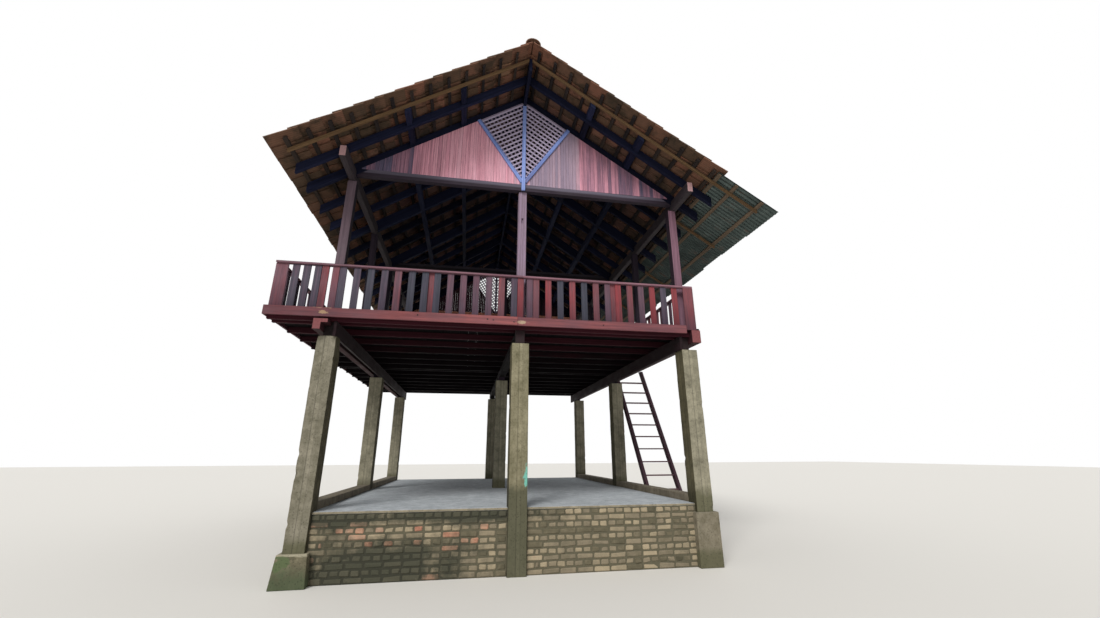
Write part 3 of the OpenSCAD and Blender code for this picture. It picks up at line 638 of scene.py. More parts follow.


# %% The concretes of the house
# Board-formed concrete: pale buff-grey on the faces to the front and rear, and the sides
# painted darker as shade, with a dark line where mould boards met and a paler band beside it.
FORMED = {"side": "#a09c8a", "seams": ((-0.16, 0.05, 0.70), (0.30, 0.035, 0.35), (0.08, 0.16, -0.16))}
COLUMN_CONCRETE = concrete("cast_concrete_damp_foot", ["#5f5b4c", "#7b7766", "#918c79", "#a49e8b"],
                           0.80, 0.40, **FORMED)
CAST = {
    # The left one stands in shade, and its shades are painted a little darker and greener with it.
    "column_front_left": concrete("cast_concrete_shaded", ["#504d40", "#6a6657", "#7f7a6b", "#928c7c"],
                                  0.36, 0.30, **FORMED),
    # The middle one is soaked dark at its foot, and has a smear of green paint.
    "column_front_centre": concrete(
        "cast_concrete_soaked_foot", ["#545039", "#706b55", "#857f68", "#97917a"], 0.95, 0.28,
        damp="#4b4b3b", marks=[((0.105, -BAY_Y - COLUMN_HALF, 1.17), (0.035, 0.06, 0.13), "#6fae9f")],
        **FORMED)}
# Kerbs: earthy cement, brown with dirt.
KERB_CEMENT = concrete("dirty_cement_kerb", ["#4d473b", "#6a6253", "#82796a"], rise=0.1)
# The front footing never dries: brown, with moss and a paler rim. The pad is drier.
FOOTING_CONCRETE = concrete(
    "mossy_footing_concrete", ["#3c3a2d", "#565241", "#746e5a", "#8c8670"], 0.0, 0.45, damp="#46503a",
    marks=[((-BAY_X - 0.10, -BAY_Y - 0.19, 0.27), (0.10, 0.12, 0.09), "#545f42"),
           ((-BAY_X, -BAY_Y - 0.17, 0.36), (0.30, 0.10, 0.022), "#98927e")])
PAD_CONCRETE = concrete("stained_pad_concrete", ["#57523f", "#777060", "#918a76"], 0.1, 0.3)
# Cement screed, trowelled smooth, pale blue-grey and dusty, with earthy edges.
SCREED = concrete("trowelled_cement_screed", ["#8c9297", "#adb3b8", "#cacfd2"], 0.0, 0.1,
                  side="#c8b698", across=(0, 0, 1))
print("seams to a column face", len(FORMED["seams"]))


# %% Slow waves for hand-made surfaces
def waves_at(points, size, seed):
    """Smooth heights of about -1 to 1: the sum of twelve sine waves that cross the
    points in random directions, with wavelengths near the given size."""
    chance = np.random.default_rng(seed)
    heading = chance.normal(size=(12, 3))
    heading /= np.linalg.norm(heading, axis=1, keepdims=True)
    turns = heading / (size * chance.uniform(0.6, 1.6, (12, 1)))
    return np.sin(2 * math.pi * (points @ turns.T + chance.uniform(0, 1, 12))).sum(-1) / 5


def loft_faces(stations, around):
    """Quads between closed rings of points, and one face on each end."""
    ring = np.arange(around)
    base = (np.arange(stations - 1) * around)[:, None]
    j, k = ring[None], (ring[None] + 1) % around
    quads = np.stack([base + j, base + k, base + around + k, base + around + j], axis=-1)
    return [quads.reshape(-1, 4), ring[::-1][None], (ring + (stations - 1) * around)[None]]


print("the waves at two points", waves_at(np.eye(3)[:2], 0.35, 10).round(3))


# %% Concrete columns
CORNER_R, RING_STEP, MOULD_BOARD = 0.009, 0.045, 0.62
SWELL, SWELL_SIZE, STEP_OUT, STEP_IN, RIDGE_OUT = 0.0016, 0.35, 0.0012, -0.0008, 0.002
CHIP_DEPTH, CHIP_SIZE, CHIP_LEVEL = 0.035, 0.13, 0.75
CHIPPED_TOP, TOP_CHIP_DEPTH, TOP_CHIP_SIZE = 0.20, 0.045, 0.30
ACROSS_FACE = np.array([-1, -0.965, -0.9, -0.62, -0.3, -0.16, -0.10, 0.3, 0.62, 0.9, 0.965])


def cast_column(node, seed):
    """A square section, its corners rounded, carried up the column. A point of it
    moves in or out by slow waves, by a step where two mould boards meet, by a ridge
    at each height of the mould, and inwards at the corners where chips came away."""
    low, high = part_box(node)
    centre = np.array([(low.x + high.x) / 2, (low.y + high.y) / 2])
    half = (high.x - low.x) / 2
    places = ACROSS_FACE * half
    edge = np.full(len(places), half)
    flat = np.concatenate([np.stack(side, 1) for side in (
        (places, -edge), (edge, places), (-places, edge), (-edge, -places))])
    inner = np.clip(flat, -half + CORNER_R, half - CORNER_R)
    out = flat - inner
    out /= np.linalg.norm(out, axis=1, keepdims=True)
    section = inner + out * CORNER_R
    stations = 2 + int((high.z - low.z) / RING_STEP)
    z = np.linspace(low.z, high.z, stations)[:, None]
    points = np.empty((stations, len(section), 3))
    points[..., :2] = section + centre
    points[..., 2] = z
    corner = np.clip((np.abs(flat).min(1) / half - 0.55) / 0.45, 0, 1)
    along_face = np.where(np.abs(flat[:, 0]) < np.abs(flat[:, 1]), flat[:, 0], flat[:, 1])
    lift = (z - low.z) / MOULD_BOARD
    waves = SWELL * waves_at(points, SWELL_SIZE, seed)
    step = np.where(along_face > 0, STEP_OUT, STEP_IN)
    ridge = RIDGE_OUT * np.exp(-((lift - np.round(lift)) / 0.03) ** 2)
    chips = np.clip(waves_at(points, CHIP_SIZE, seed + 50) - CHIP_LEVEL, 0, 1) * CHIP_DEPTH
    if node == "column_front_left":
        near_top = np.clip((z - high.z + CHIPPED_TOP) / CHIPPED_TOP, 0, 1)
        broken = np.clip(waves_at(points, TOP_CHIP_SIZE, 4) + 0.6, 0, 1)
        chips = chips + near_top * broken * TOP_CHIP_DEPTH
    push = waves + step + ridge - chips * corner
    points[..., :2] += out * push[..., None]
    face = np.zeros_like(points)
    face[..., 0] = along_face / half
    made = piece(node + "_cast", points.reshape(-1, 3), loft_faces(stations, len(section)),
                 [CAST.get(node, COLUMN_CONCRETE)], grain=face.reshape(-1, 3))
    place(made, "columns", node)


COLUMN_NODES = ["column_%s_%s" % (row, side) for row in ("front", "mid", "rear")
                for side in ("left", "centre", "right")]
for number, node in enumerate(COLUMN_NODES):
    cast_column(node, 10 + number)
print("columns cast", len(COLUMN_NODES))

# %% Footing, pad, kerbs and slab
for node, finish in (("front_left_footing", FOOTING_CONCRETE), ("front_right_pad", PAD_CONCRETE),
                     ("slab_kerbs", KERB_CEMENT), ("floor_slab", SCREED)):
    dress(node, node, finish, arris=0.008, segments=2)

# %% [markdown]
# ## The brick plinth
# The plinth is laid in English bond: a course of stretchers, which show their long
# side, then a course of headers, which show their ends. A brick texture would do
# from afar, but single bricks are worth having as geometry, because raking light
# catches each arris. They are cut at the columns as a bricklayer would cut them,
# and sit in a core of mortar.


# %% Where a wall grows dark, and where shade is painted under the roof
# Bands of growth as z and x from clear to full: along the top, and at the left foot.
GROWTH_BANDS = (((0.54, 0.70), (0.95, -0.20)), ((0.62, 0.30), (0.10, -1.20)))


def growth_amount(tree, where, wide):
    """The larger of the bands, each the product of a ramp up and a ramp across. Noise
    is added before it is cut off, so that its edge is ragged."""
    apart = add(tree, "SeparateXYZ", {0: where})
    bands = []
    for (z_clear, z_full), (x_clear, x_full) in GROWTH_BANDS:
        upright = add(tree, "MapRange", {"Value": apart["Z"], "From Min": z_clear, "From Max": z_full})
        sideways = add(tree, "MapRange", {"Value": apart["X"], "From Min": x_clear, "From Max": x_full})
        bands.append(add(tree, "Math", {0: upright[0], 1: sideways[0]}, operation="MULTIPLY")[0])
    band = add(tree, "Math", {0: bands[0], 1: bands[1]}, operation="MAXIMUM")
    grown = add(tree, "Math", {0: band[0], 1: 0.34, 2: wide}, operation="MULTIPLY_ADD")
    return add(tree, "MapRange", {"Value": grown[0], "From Min": 0.56, "From Max": 0.80,
                                  "To Max": 0.92})[0]


def roof_shade_amount(tree, where, normal):
    """The product of three ramps, a painted shade under the roof: how far a face looks
    down, and how far inside the wall plates and inside the gables it lies."""
    apart = add(tree, "SeparateXYZ", {0: where})
    down = add(tree, "SeparateXYZ", {0: normal})["Z"]
    amount = add(tree, "MapRange", {"Value": down, "From Min": -0.2, "From Max": -0.5})[0]
    for axis, clear, full in (("X", BAY_X + 0.2, BAY_X - 0.5), ("Y", BAY_Y + 0.4, BAY_Y)):
        away = add(tree, "Math", {0: apart[axis]}, operation="ABSOLUTE")
        over = add(tree, "MapRange", {"Value": away[0], "From Min": clear, "From Max": full})
        amount = add(tree, "Math", {0: amount, 1: over[0]}, operation="MULTIPLY")[0]
    return amount


print("bands of growth", len(GROWTH_BANDS))


# %% Brick, mortar and clay material
# Waves to a metre: grit of 7 mm and stains 450 mm across. Real grit is near 1 mm, too
# fine to show, so it is drawn this coarse.
GRIT_SCALE, STAIN_SCALE = 150.0, 2.2
print("grit", round(1000 / GRIT_SCALE), "mm")


def mottled(name, shades, size, rough, relief, stain=None, growth=None, ribs=None, roof_shade=None):
    """A fired or set surface: a tone for each piece and blotches of the given size in
    metres pick the shade, and grit makes the relief. A growth darkens the top of the
    wall left of the middle and its foot at the left. Ribs are lines along the slope.
    The roof shade, a painted shade, multiplies the faces that look down over the room."""
    material, tree = new_finish(name)
    coordinates = add(tree, "TexCoord")
    where = coordinates["Object"]
    tone = add(tree, "Attribute", attribute_name="tone")["Fac"]
    blotch = add(tree, "TexNoise", {"Vector": where, "Scale": 1 / size, "Detail": 5.0, "Roughness": 0.6})
    grit = add(tree, "TexNoise", {"Vector": where, "Scale": GRIT_SCALE, "Detail": 3.0})["Fac"]
    wide = add(tree, "TexNoise", {"Vector": where, "Scale": STAIN_SCALE, "Detail": 8.0,
                                  "Roughness": 0.72})["Fac"]
    pushed = add(tree, "Math", {0: blotch["Fac"], 1: 0.4, 2: tone}, operation="MULTIPLY_ADD")
    level = add(tree, "Math", {0: pushed[0], 1: 0.2}, operation="SUBTRACT", use_clamp=True)
    shade = add(tree, "ValToRGB", {"Fac": level[0]}, ramp=spread_ramp(shades))
    layers = []
    if stain:
        amount = add(tree, "MapRange", {"Value": wide, "From Min": 0.5, "From Max": 0.62, "To Max": 0.8})
        layers.append((amount[0], srgb(stain), "MIX"))
    if growth:
        layers.append((growth_amount(tree, where, wide), srgb(growth), "MIX"))
    # Painted shade: faces that look down over the room are multiplied darker.
    if roof_shade:
        layers.append((roof_shade_amount(tree, where, coordinates["Normal"]), srgb(roof_shade), "MULTIPLY"))
    dark = add(tree, "MapRange", {"Value": grit, "From Min": 0.3, "From Max": 0.7,
                                  "To Min": 0.82, "To Max": 1.12})[0]
    if ribs:
        along = add(tree, "SeparateXYZ", {0: where})["Y"]
        turn = add(tree, "Math", {0: along, 1: 2 * math.pi / ribs}, operation="MULTIPLY")
        wave = add(tree, "Math", {0: turn[0]}, operation="SINE")
        lined = add(tree, "MapRange", {"Value": wave[0], "From Min": -1.0, "To Min": 0.78})
        dark = add(tree, "Math", {0: dark, 1: lined[0]}, operation="MULTIPLY")[0]
    lay_finish(tree, shade["Color"], layers, rough, grit, relief, dark=dark)
    return material


# %% Bricks, mortar and tiles
# Old clay bricks, most gone olive-buff with dirt, a few still pink, orange or red, and a
# near-black growth where the wall stays wet.
BRICK_SHADES = ["#534f3f", "#6c6552", "#827865", "#958972", "#a99b81", "#ab907a", "#b98f76", "#96604f"]
BRICK = mottled("weathered_clay_brick", BRICK_SHADES, 0.09, 0.92, 0.003, growth="#434438")
# Cement mortar, dark with the same dirt.
MORTAR = mottled("dirty_cement_mortar", ["#4c493c", "#5c5848", "#6b6654"], 0.15, 0.95, 0.003,
                 growth="#35362d")
# Clay tiles: brown with dirt and ribbed along the slope, and painted darker underneath over
# the room as shade.
CLAY = mottled("weathered_clay_tile", ["#4e4036", "#66503f", "#7a5a48", "#8a5f4c", "#94755b"], 0.12,
               0.88, 0.002, stain="#3f372b", ribs=0.036, roof_shade="#c4c4e0")
print("finishes so far", len(finishes_made))

# %% Laying the bricks
HIGH_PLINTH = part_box("brick_plinth")[1]
SIDE_FACE, END_FACE, PLINTH_TOP = HIGH_PLINTH.x, HIGH_PLINTH.y, HIGH_PLINTH.z
COURSES = 10
COURSE = PLINTH_TOP / COURSES
JOINT, STRETCHER, HEADER, CLOSER = 0.014, 0.211, 0.1025, 0.046
PROUD, SHORTEST, MORTAR_BACK = 0.002, 0.03, 0.009


def brick_run(start, end, course):
    """Starts and ends of the bricks of one course: stretchers in even courses, and in
    odd ones a header, a quarter closer and more headers. The last brick is cut."""
    if course % 2 == 0:
        starts = np.arange(start, end, STRETCHER + JOINT)
        ends = starts + STRETCHER
    else:
        second = start + HEADER + JOINT
        rest = np.arange(second + CLOSER + JOINT, end, HEADER + JOINT)
        starts = np.concatenate([[start, second], rest])
        ends = np.concatenate([[start + HEADER, second + CLOSER], rest + HEADER])
    ends = np.minimum(ends, end)
    keep = ends - starts > SHORTEST
    return starts[keep], ends[keep]


def lay_plinth():
    """Bricks of all four faces. At the rear corners even courses of the sides run
    through, and odd courses of the rear run through."""
    chance = chance_of("plinth")
    beside_column = BAY_X - COLUMN_HALF
    behind_column = -BAY_Y + COLUMN_HALF
    low, high = [], []
    for course in range(COURSES):
        z0 = course * COURSE + JOINT / 2
        z1 = (course + 1) * COURSE - JOINT / 2
        sides_through = course % 2 == 0
        side_end = END_FACE - (0 if sides_through else HEADER + JOINT)
        rear_end = SIDE_FACE - (HEADER + JOINT if sides_through else 0)
        for face, sign, along_x, start, end in (
                (END_FACE, -1, True, -beside_column, -COLUMN_HALF),
                (END_FACE, -1, True, COLUMN_HALF, beside_column),
                (SIDE_FACE, -1, False, behind_column, side_end),
                (SIDE_FACE, 1, False, behind_column, side_end),
                (END_FACE, 1, True, -rear_end, rear_end)):
            starts, ends = brick_run(start, end, course)
            outer = face + chance.normal(0, PROUD, len(starts))
            inner = np.full(len(starts), outer.mean() - HEADER)
            across = np.sort(sign * np.stack([inner, outer]), axis=0)
            for along, over, z, found in ((starts, across[0], z0, low), (ends, across[1], z1, high)):
                plan = (along, over) if along_x else (over, along)
                found.append(np.stack([*plan, np.full(len(along), z)], 1))
    return np.concatenate(low), np.concatenate(high)


def brick_tones(low, high):
    """Olive-buff for most. Pink, peach and red ones lie in the courses above the
    middle, about two in five near the left end and one in eight beyond, and one in
    fifty elsewhere."""
    chance = chance_of("brick tones")
    tone = 0.62 * chance.beta(2.2, 2.0, len(low))
    x, _, z = ((low + high) / 2).T
    warm = (x < 0) & (z > 0.36) & (z < 0.66)
    share = np.where(warm, np.where(x < -1.5, 0.40, 0.12), 0.02)
    picked = chance.uniform(0, 1, len(low)) < share
    return np.where(picked, chance.uniform(0.74, 0.97, len(low)), tone)


# %% The plinth as one piece
brick_low, brick_high = lay_plinth()
bricks = timber_parts(boxes(brick_low, brick_high), "bricks", arris=0.013, wobble=0.0040,
                      tone=brick_tones(brick_low, brick_high))
core_reach = np.array([SIDE_FACE - MORTAR_BACK, END_FACE - MORTAR_BACK])
core = timber_parts(boxes([*-core_reach, 0.0], [*core_reach, PLINTH_TOP - 0.0005]), "core",
                    arris=0.004, wobble=0.0)
place(joined("brick_plinth_bonded", [bricks, core], [BRICK, MORTAR]), "brick_plinth", "brick_plinth")
print("bricks", len(brick_low))

# %% [markdown]
# ## Posts, beams, joists and rafters
# These are plain sawn timbers, planed on the posts alone. New meshes would be the
# same boxes again, so their solids are dressed as they stand. What tells one
# timber from the next is its tone, which follows where it lies in the house.


# %% Tones of single timbers
def tones_along(axis, places, tones):
    """Tones that change evenly between given places along one axis."""
    return lambda middles: np.interp(middles[:, axis], places, tones)


def beam_tones(middles):
    """The planks inside the post faces are dark, a painted shade, and the outer beams red."""
    return np.where(np.abs(middles[:, 0]) < BAY_X, 0.05, 0.65)


def batten_tones(middles):
    """Dark under the tiles, light under the sheets."""
    spread = chance_of("battens").uniform(0.05, 0.55, len(middles))
    return np.where(middles[:, 0] > UNDER_SHEETS, 0.92, spread)


UNDER_SHEETS = 2.93
# The left posts are the darkest. Ties go from mauve in front to red-brown at the rear,
# and joists are redder near the front.
post_tones = tones_along(0, POST_XS, [0.27, 0.80, 0.60])
# The rear tie's tone of 1 picks the brightest shade: painted light.
tie_tones = tones_along(1, [-BAY_Y, 0.0, BAY_Y], [0.55, 0.10, 1.0])
# The joists' higher tones near the front pick lighter, redder shades: painted daylight.
joist_tones = tones_along(1, [-BAY_Y, -0.3 * BAY_Y, BAY_Y], [0.95, 0.45, 0.15])
print("tones of the posts", post_tones(np.array([[x, 0.0, 0.0] for x in POST_XS])))

# %% Dress the heavy timbers
for row, finish in (("front", POST_WOOD), ("mid", SHADED_POST_WOOD), ("rear", POST_WOOD)):
    dress(row + "_posts", "posts", finish, run="z", arris=0.006, segments=2, tones=post_tones)
dress("bay_posts", "posts", SHADED_POST_WOOD, run="z", arris=0.005, segments=2)
for node, finish, run, tones in (
        ("left_edge_beam", EDGE_BEAM_WOOD, "y", beam_tones),
        ("centre_beam", JOIST_WOOD, "y", (0.1, 0.4)),
        ("right_edge_beam", EDGE_BEAM_WOOD, "y", beam_tones),
        ("floor_joists", JOIST_WOOD, "x", joist_tones),
        ("left_wall_plate", PLATE_WOOD, "y", (0.5, 0.6)),
        ("right_wall_plate", PLATE_WOOD, "y", (0.3, 0.5)),
        ("tie_beams", TIE_WOOD, "x", tie_tones),
        ("ridge_board", RAFTER_WOOD, "y", (0.4, 0.5)),
        ("left_rafters", RAFTER_WOOD, "slope", (0.1, 0.9)),
        ("right_rafters", RAFTER_WOOD, "slope", (0.1, 0.9)),
        ("left_purlins", RAFTER_WOOD, "y", (0.2, 1.0)),
        ("right_purlins", RAFTER_WOOD, "y", (0.2, 1.0)),
        ("verge_rafters", POLE_WOOD, "slope", (0.3, 0.8)),
        ("left_battens", BATTEN_WOOD, "y", batten_tones),
        ("right_battens", BATTEN_WOOD, "y", batten_tones)):
    dress(node, node, finish, run=run, arris=0.003, tones=tones)

# %% [markdown]
# ## The floor and its edge boards
# The floor is of boards 140 mm wide that run from front to back and stop at the
# posts. Seen from below they are the dark stripes between the joists. Grooves in
# a bump map would fail at the ends, so each board is a box of its own, and so are
# the edge boards that are nailed round the floor.


# %% Floor boards
FLOOR_BOARD, JOINT_HALF, END_GAP = 0.14, 0.0008, 0.0005
BREAKS, JOIST_SPACING = np.array([2.4, 5.1]), 0.44


def lay_floor():
    """Strips beside, before and behind the posts. Each strip is shared into boards
    near 140 mm wide with fine joints between them, in lengths that break over a joist."""
    chance = chance_of("floor")
    half = POST / 2
    cuts = sorted([DECK_LOW.x, DECK_HIGH.x] + [x + s * half for x in POST_XS for s in (-1, 1)])
    post_sides = [y + s * half for y in (-BAY_Y, 0, BAY_Y) for s in (-1, 1)]
    post_ends = [DECK_LOW.y, *post_sides, DECK_HIGH.y]
    low, high = [], []
    for x0, x1 in zip(cuts[:-1], cuts[1:]):
        over_post = any(abs((x0 + x1) / 2 - x) < 0.01 for x in POST_XS)
        edges = np.linspace(x0, x1, max(1, round((x1 - x0) / FLOOR_BOARD)) + 1)
        for a, b in zip(edges[:-1], edges[1:]):
            if over_post:
                spans = zip(post_ends[::2], post_ends[1::2])
            else:
                breaks = DECK_LOW.y + BREAKS + JOIST_SPACING * chance.choice([-1, 0, 1])
                spans = zip([DECK_LOW.y, *breaks], [*breaks, DECK_HIGH.y])
            for y0, y1 in spans:
                low.append([a + JOINT_HALF, y0 + END_GAP, DECK_LOW.z])
                high.append([b - JOINT_HALF, y1 - END_GAP, DECK_HIGH.z])
    return boxes(low, high)


floor_boards = lay_floor()
place(timbers("floor_deck_boards", floor_boards, DECK_WOOD, arris=0.002, wobble=0.0002),
      "floor_deck", "floor_deck")
print("floor boards", len(floor_boards))

# %% Edge boards
EDGE_LOW, EDGE_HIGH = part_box("edge_boards")
RIGHT_SIDE = POST_XS[2] + POST / 2
END_W, RAIL_W = 0.165, 0.080
FRONT_EDGE_END = RIGHT_SIDE + 0.010 + RAIL_W - END_W - 0.002
FRONT_JOINT, LEFT_JOINT, REAR_JOINT = -0.055, 0.320, 0.403
BUTT_GAP, CORNER_GAP, FRONT_SAG, LEFT_LIFT = 0.003, 0.002, 0.003, 0.002
# Each board as low x, y, z and high x, y, z: two in front, two at the left, two behind.
x0, y0, z0 = EDGE_LOW
x1, y1, z1 = EDGE_HIGH
y_front, y_rear = y0 + EDGE_T, y1 - EDGE_T
edges = np.array([
    [x0, y0, z0, FRONT_JOINT - BUTT_GAP, y_front, z1],
    [FRONT_JOINT, y0, z0 - FRONT_SAG, FRONT_EDGE_END, y_front, z1 - FRONT_SAG],
    [x0, y_front + CORNER_GAP, z0, x0 + EDGE_T, LEFT_JOINT - BUTT_GAP, z1],
    [x0, LEFT_JOINT, z0 + LEFT_LIFT, x0 + EDGE_T, y_rear - CORNER_GAP, z1],
    [x0, y_rear, z0, REAR_JOINT - BUTT_GAP, y1, z1],
    [REAR_JOINT, y_rear, z0, x1, y1, z1]])
place(timbers("edge_boards_nailed", boxes(edges[:, :3], edges[:, 3:]), FASCIA_WOOD, arris=0.003,
              tone=np.array([0.75, 0.5, 0.55, 0.6, 0.5, 0.55])), "edge_boards", "edge_boards")
print("edge boards", len(edges))

# %% [markdown]
# ## The railing of flat boards
# Flat boards stand on the floor behind the edge board and carry a wide handrail.
# They come in a rhythm: a wide board at each end, two boards beside each newel,
# two close pairs in front of each post, and single boards spread between. An Array
# modifier would space them evenly, which the real one isn't, so the same rhythm is
# worked out here as in the solids. Every board of the front gets the tone that it
# has on the real one, from slate grey to bright red.

# %% The rhythm of the boards
BOARD_W, BOARD_T, NEWEL_HALF = 0.094, 0.022, 0.055
RAIL_TOP = FLOOR + 0.700
RAIL_UNDER = RAIL_TOP - 0.030
NEWEL_GAP, PAIR_GAP, LARGEST_SPACE = 0.080, 0.042, 0.196
NEAR_PAIR = PAIR_GAP / 2 + BOARD_W / 2
REACH = [(END_W - BOARD_W) / 2, (NEWEL_GAP + BOARD_W) / 2, PAIR_GAP / 2 + 1.5 * BOARD_W + 0.004]
BOARD_FACE = EDGE_T + 0.005
JOINT_BACK, RAIL_JOINT, NEWEL_TONE = 0.04, 0.0007, 0.8
TONES = {"slate": 0.05, "dusk": 0.25, "mauve": 0.45, "brown": 0.62, "rust": 0.75, "red": 0.88,
         "bright": 1.0}
FRONT_SHADES = """brown dusk dusk dusk rust brown dusk dusk slate dusk brown slate slate slate mauve
mauve mauve mauve rust dusk red mauve rust red slate red slate rust mauve bright rust mauve
bright dusk bright rust""".split()
print("boards with tones in front", len(FRONT_SHADES))


def group_boards(x, kind):
    """Middles and widths of a wide end board (0), a newel pair (1) or two pairs (2)."""
    if kind == 0:
        return [(x, END_W)]
    offsets = [REACH[1]] if kind == 1 else [NEAR_PAIR, REACH[2]]
    return [(x + s * offset, BOARD_W) for s in (-1, 1) for offset in offsets]


def all_boards(groups):
    """The boards of all groups, and boards spread evenly between each two groups."""
    found = [board for group in groups for board in group_boards(*group)]
    for (x0, kind0), (x1, kind1) in zip(groups[:-1], groups[1:]):
        a, b = x0 + REACH[kind0], x1 - REACH[kind1]
        spaces = max(1, math.ceil((b - a) / LARGEST_SPACE))
        found += [(a + i * (b - a) / spaces, BOARD_W) for i in range(1, spaces)]
    return sorted(found)


# %% The four sides of the railing
LEFT_EDGE, RIGHT_EDGE = DECK_LOW.x, DECK_HIGH.x
RAIL_LEFT, RAIL_RIGHT = LEFT_EDGE + 0.020, RIGHT_SIDE + 0.010 + RAIL_W
RAIL_FRONT, RAIL_REAR = DECK_LOW.y - EDGE_T, DECK_HIGH.y + EDGE_T
LEFT_POST_FACE = POST_XS[0] - POST / 2
SHIFT = 0.050
SIDE_START, SIDE_END = RAIL_FRONT + RAIL_W, RAIL_REAR - RAIL_W
GATE_START = POST / 2 + 0.035
GATE_END = GATE_START + 0.900
# The same groups of boards stand along the front and the rear.
LONG = [(RAIL_LEFT, RAIL_RIGHT, [
    (LEFT_POST_FACE, 2), ((LEFT_POST_FACE + SHIFT) / 2, 1), (SHIFT, 2),
    ((SHIFT + RIGHT_EDGE - 0.010) / 2, 1)])]
# Each side's outer face, the direction inwards, whether it runs along x, and its runs
# (start, end, groups).
SIDES = {
    "front": (RAIL_FRONT, 1, True, LONG),
    "rear": (RAIL_REAR, -1, True, LONG),
    "left": (RAIL_LEFT, 1, False, [
        (SIDE_START, SIDE_END, [(-BAY_Y / 2, 1), (0, 2), (BAY_Y / 2, 1), (BAY_Y, 2)])]),
    "right": (RAIL_RIGHT, -1, False, [
        (SIDE_START, GATE_START, [(-BAY_Y / 2, 1)]),
        (GATE_END, SIDE_END, [((GATE_END + SIDE_END) / 2, 1)])])}


def panel(side, shades=None, dropped=False):
    """One side of the railing, worked out as (along, depth from the outer face,
    height) and then turned to the house. Where it is dropped, the last board stands
    in front of the floor's edge. The handrail is jointed over the close pairs."""
    name = side + "_railing"
    face, inward, along_x, runs = SIDES[side]
    chance = chance_of(name)
    low, high, tones, rail_low, rail_high = [], [], [], [], []
    for start, end, groups in runs:
        boards = all_boards([(start + END_W / 2, 0)] + groups + [(end - END_W / 2, 0)])
        for i, (s, width) in enumerate(boards):
            low.append([s - width / 2, BOARD_FACE, FLOOR])
            high.append([s + width / 2, BOARD_FACE + BOARD_T, RAIL_UNDER])
            tones.append(TONES[shades[i]] if shades else chance.uniform(0.1, 0.95))
        if dropped:
            low[-1][1:] = [0, DECK_LOW.z]
            high[-1][1] = EDGE_T
        for s in [s for s, kind in groups if kind == 1]:
            low.append([s - NEWEL_HALF, BOARD_FACE + BOARD_T + 0.0005, FLOOR])
            high.append([s + NEWEL_HALF, RAIL_W - 0.001, RAIL_UNDER])
            tones.append(NEWEL_TONE)
        joints = [s - JOINT_BACK for s, kind in groups if kind == 2 and start + 1 < s < end - 1]
        for a, b in zip([start] + joints, joints + [end]):
            rail_low.append([a + RAIL_JOINT, 0, RAIL_UNDER])
            rail_high.append([b - RAIL_JOINT, RAIL_W, RAIL_TOP])

    def to_house(p):
        """The depth is taken inwards from the outer face, along x or along y."""
        across = face + inward * p[..., 1]
        plan = (p[..., 0], across) if along_x else (across, p[..., 0])
        return np.stack([*plan, p[..., 2]], axis=-1)

    parts = [timber_parts(to_house(boxes(low, high)), name, arris=0.0035, tone=np.array(tones),
                          wobble=0.0015),
             timber_parts(to_house(boxes(rail_low, rail_high)), name + " rail", arris=0.006)]
    place(joined(name, parts, [RAILING_WOOD, RAIL_WOOD]), side + "_balustrade", side + "_balustrade")
    print(name, len(low), "boards and newels")


panel("front", FRONT_SHADES, dropped=True)
for side in ("rear", "left", "right"):
    panel(side)

# %% [markdown]
# ## The gables
# Vertical boards fill the triangle above each tie, cut to the slope of the rafter
# and to the slope of a strut. In the diamond between the struts is a lattice of
# laths in two layers, one along each rafter. Blue cover strips hide the joints. A
# picture of a lattice with holes would show no thickness from below, so every lath
# is a box whose ends are cut to the lines that it meets.

# %% Gable boards
STRIP_W, STRIP_T, BOARDING = 0.060, 0.030, 0.020
GABLE_BOARD, NEAR_BOARDS = 0.062, 16
GABLE_FACE = FRAME_FACE + BOARDING
TIE_TOP = TIE_HIGH.z
GABLE_H = APEX - TIE_TOP
STRUT_X = GABLE_H * SIN * COS
# From the left: slate, mauve and pink boards, grey ones right of the middle, and mauve
# ones again at the right end. They are set lighter on the left, which the verge shades from
# the sun, and darker on the right, which the sun reaches: partly painted light.
GABLE_PLACES = [-2.3, -1.9, -1.6, -1.1, -0.2, 0.2, 0.90, 0.98, 2.3]
GABLE_TONES = [0.0, 0.12, 0.28, 0.52, 0.60, 0.96, 0.90, 0.34, 0.15]
GABLE_SPREAD, SHORTEST_BOARD = 0.14, 0.02


def both_halves(x, y, z):
    """The same corners on the left and on the right of the middle, in (2 n, 8, 3)."""
    return np.concatenate([np.stack(np.broadcast_arrays(side * x, y, z), axis=-1) for side in (-1, 1)])


def gable_boards(end):
    """Boards of both halves. A board's top follows the strut's line near the middle,
    and the underside of the rafter farther out: the lower of the two."""
    inner, outer = STRIP_W / 4, PLATE_IN + (PLATE_TOP - TIE_TOP) / TAN - SHORTEST_BOARD
    far_boards = max(2, round((outer - STRUT_X) / GABLE_BOARD))
    x = np.concatenate([np.linspace(inner, STRUT_X, NEAR_BOARDS + 1),
                        np.linspace(STRUT_X, outer, far_boards + 1)[1:]])
    i, j, k = CORNERS.T
    along = np.where(i, x[1:, None] - JOINT_HALF, x[:-1, None] + JOINT_HALF)
    low_y, high_y = sorted((end * GABLE_FACE, end * FRAME_FACE))
    top = np.minimum(TIE_TOP + along / TAN, roof_height(along, 0.0))
    return both_halves(along, np.where(j, high_y, low_y), np.where(k, top, TIE_TOP))


for end, word in ((-1, "front"), (1, "rear")):
    corners = gable_boards(end)
    tone = np.interp(corners[:, :, 0].mean(1), GABLE_PLACES, GABLE_TONES)
    spread = chance_of("gable " + word).uniform(-GABLE_SPREAD, GABLE_SPREAD, len(corners))
    node = word + "_gable_boards"
    place(timbers(node + "_sawn", corners, GABLE_WOODS[end], arris=0.0025, wobble=0.0004,
                  tone=np.clip(tone + spread, 0, 1)), node, node)
    print(node, len(corners))

# %% Lattice
LATH_PITCH, LATH_W, SHORTEST_LATH = 0.075, 0.028, 0.03
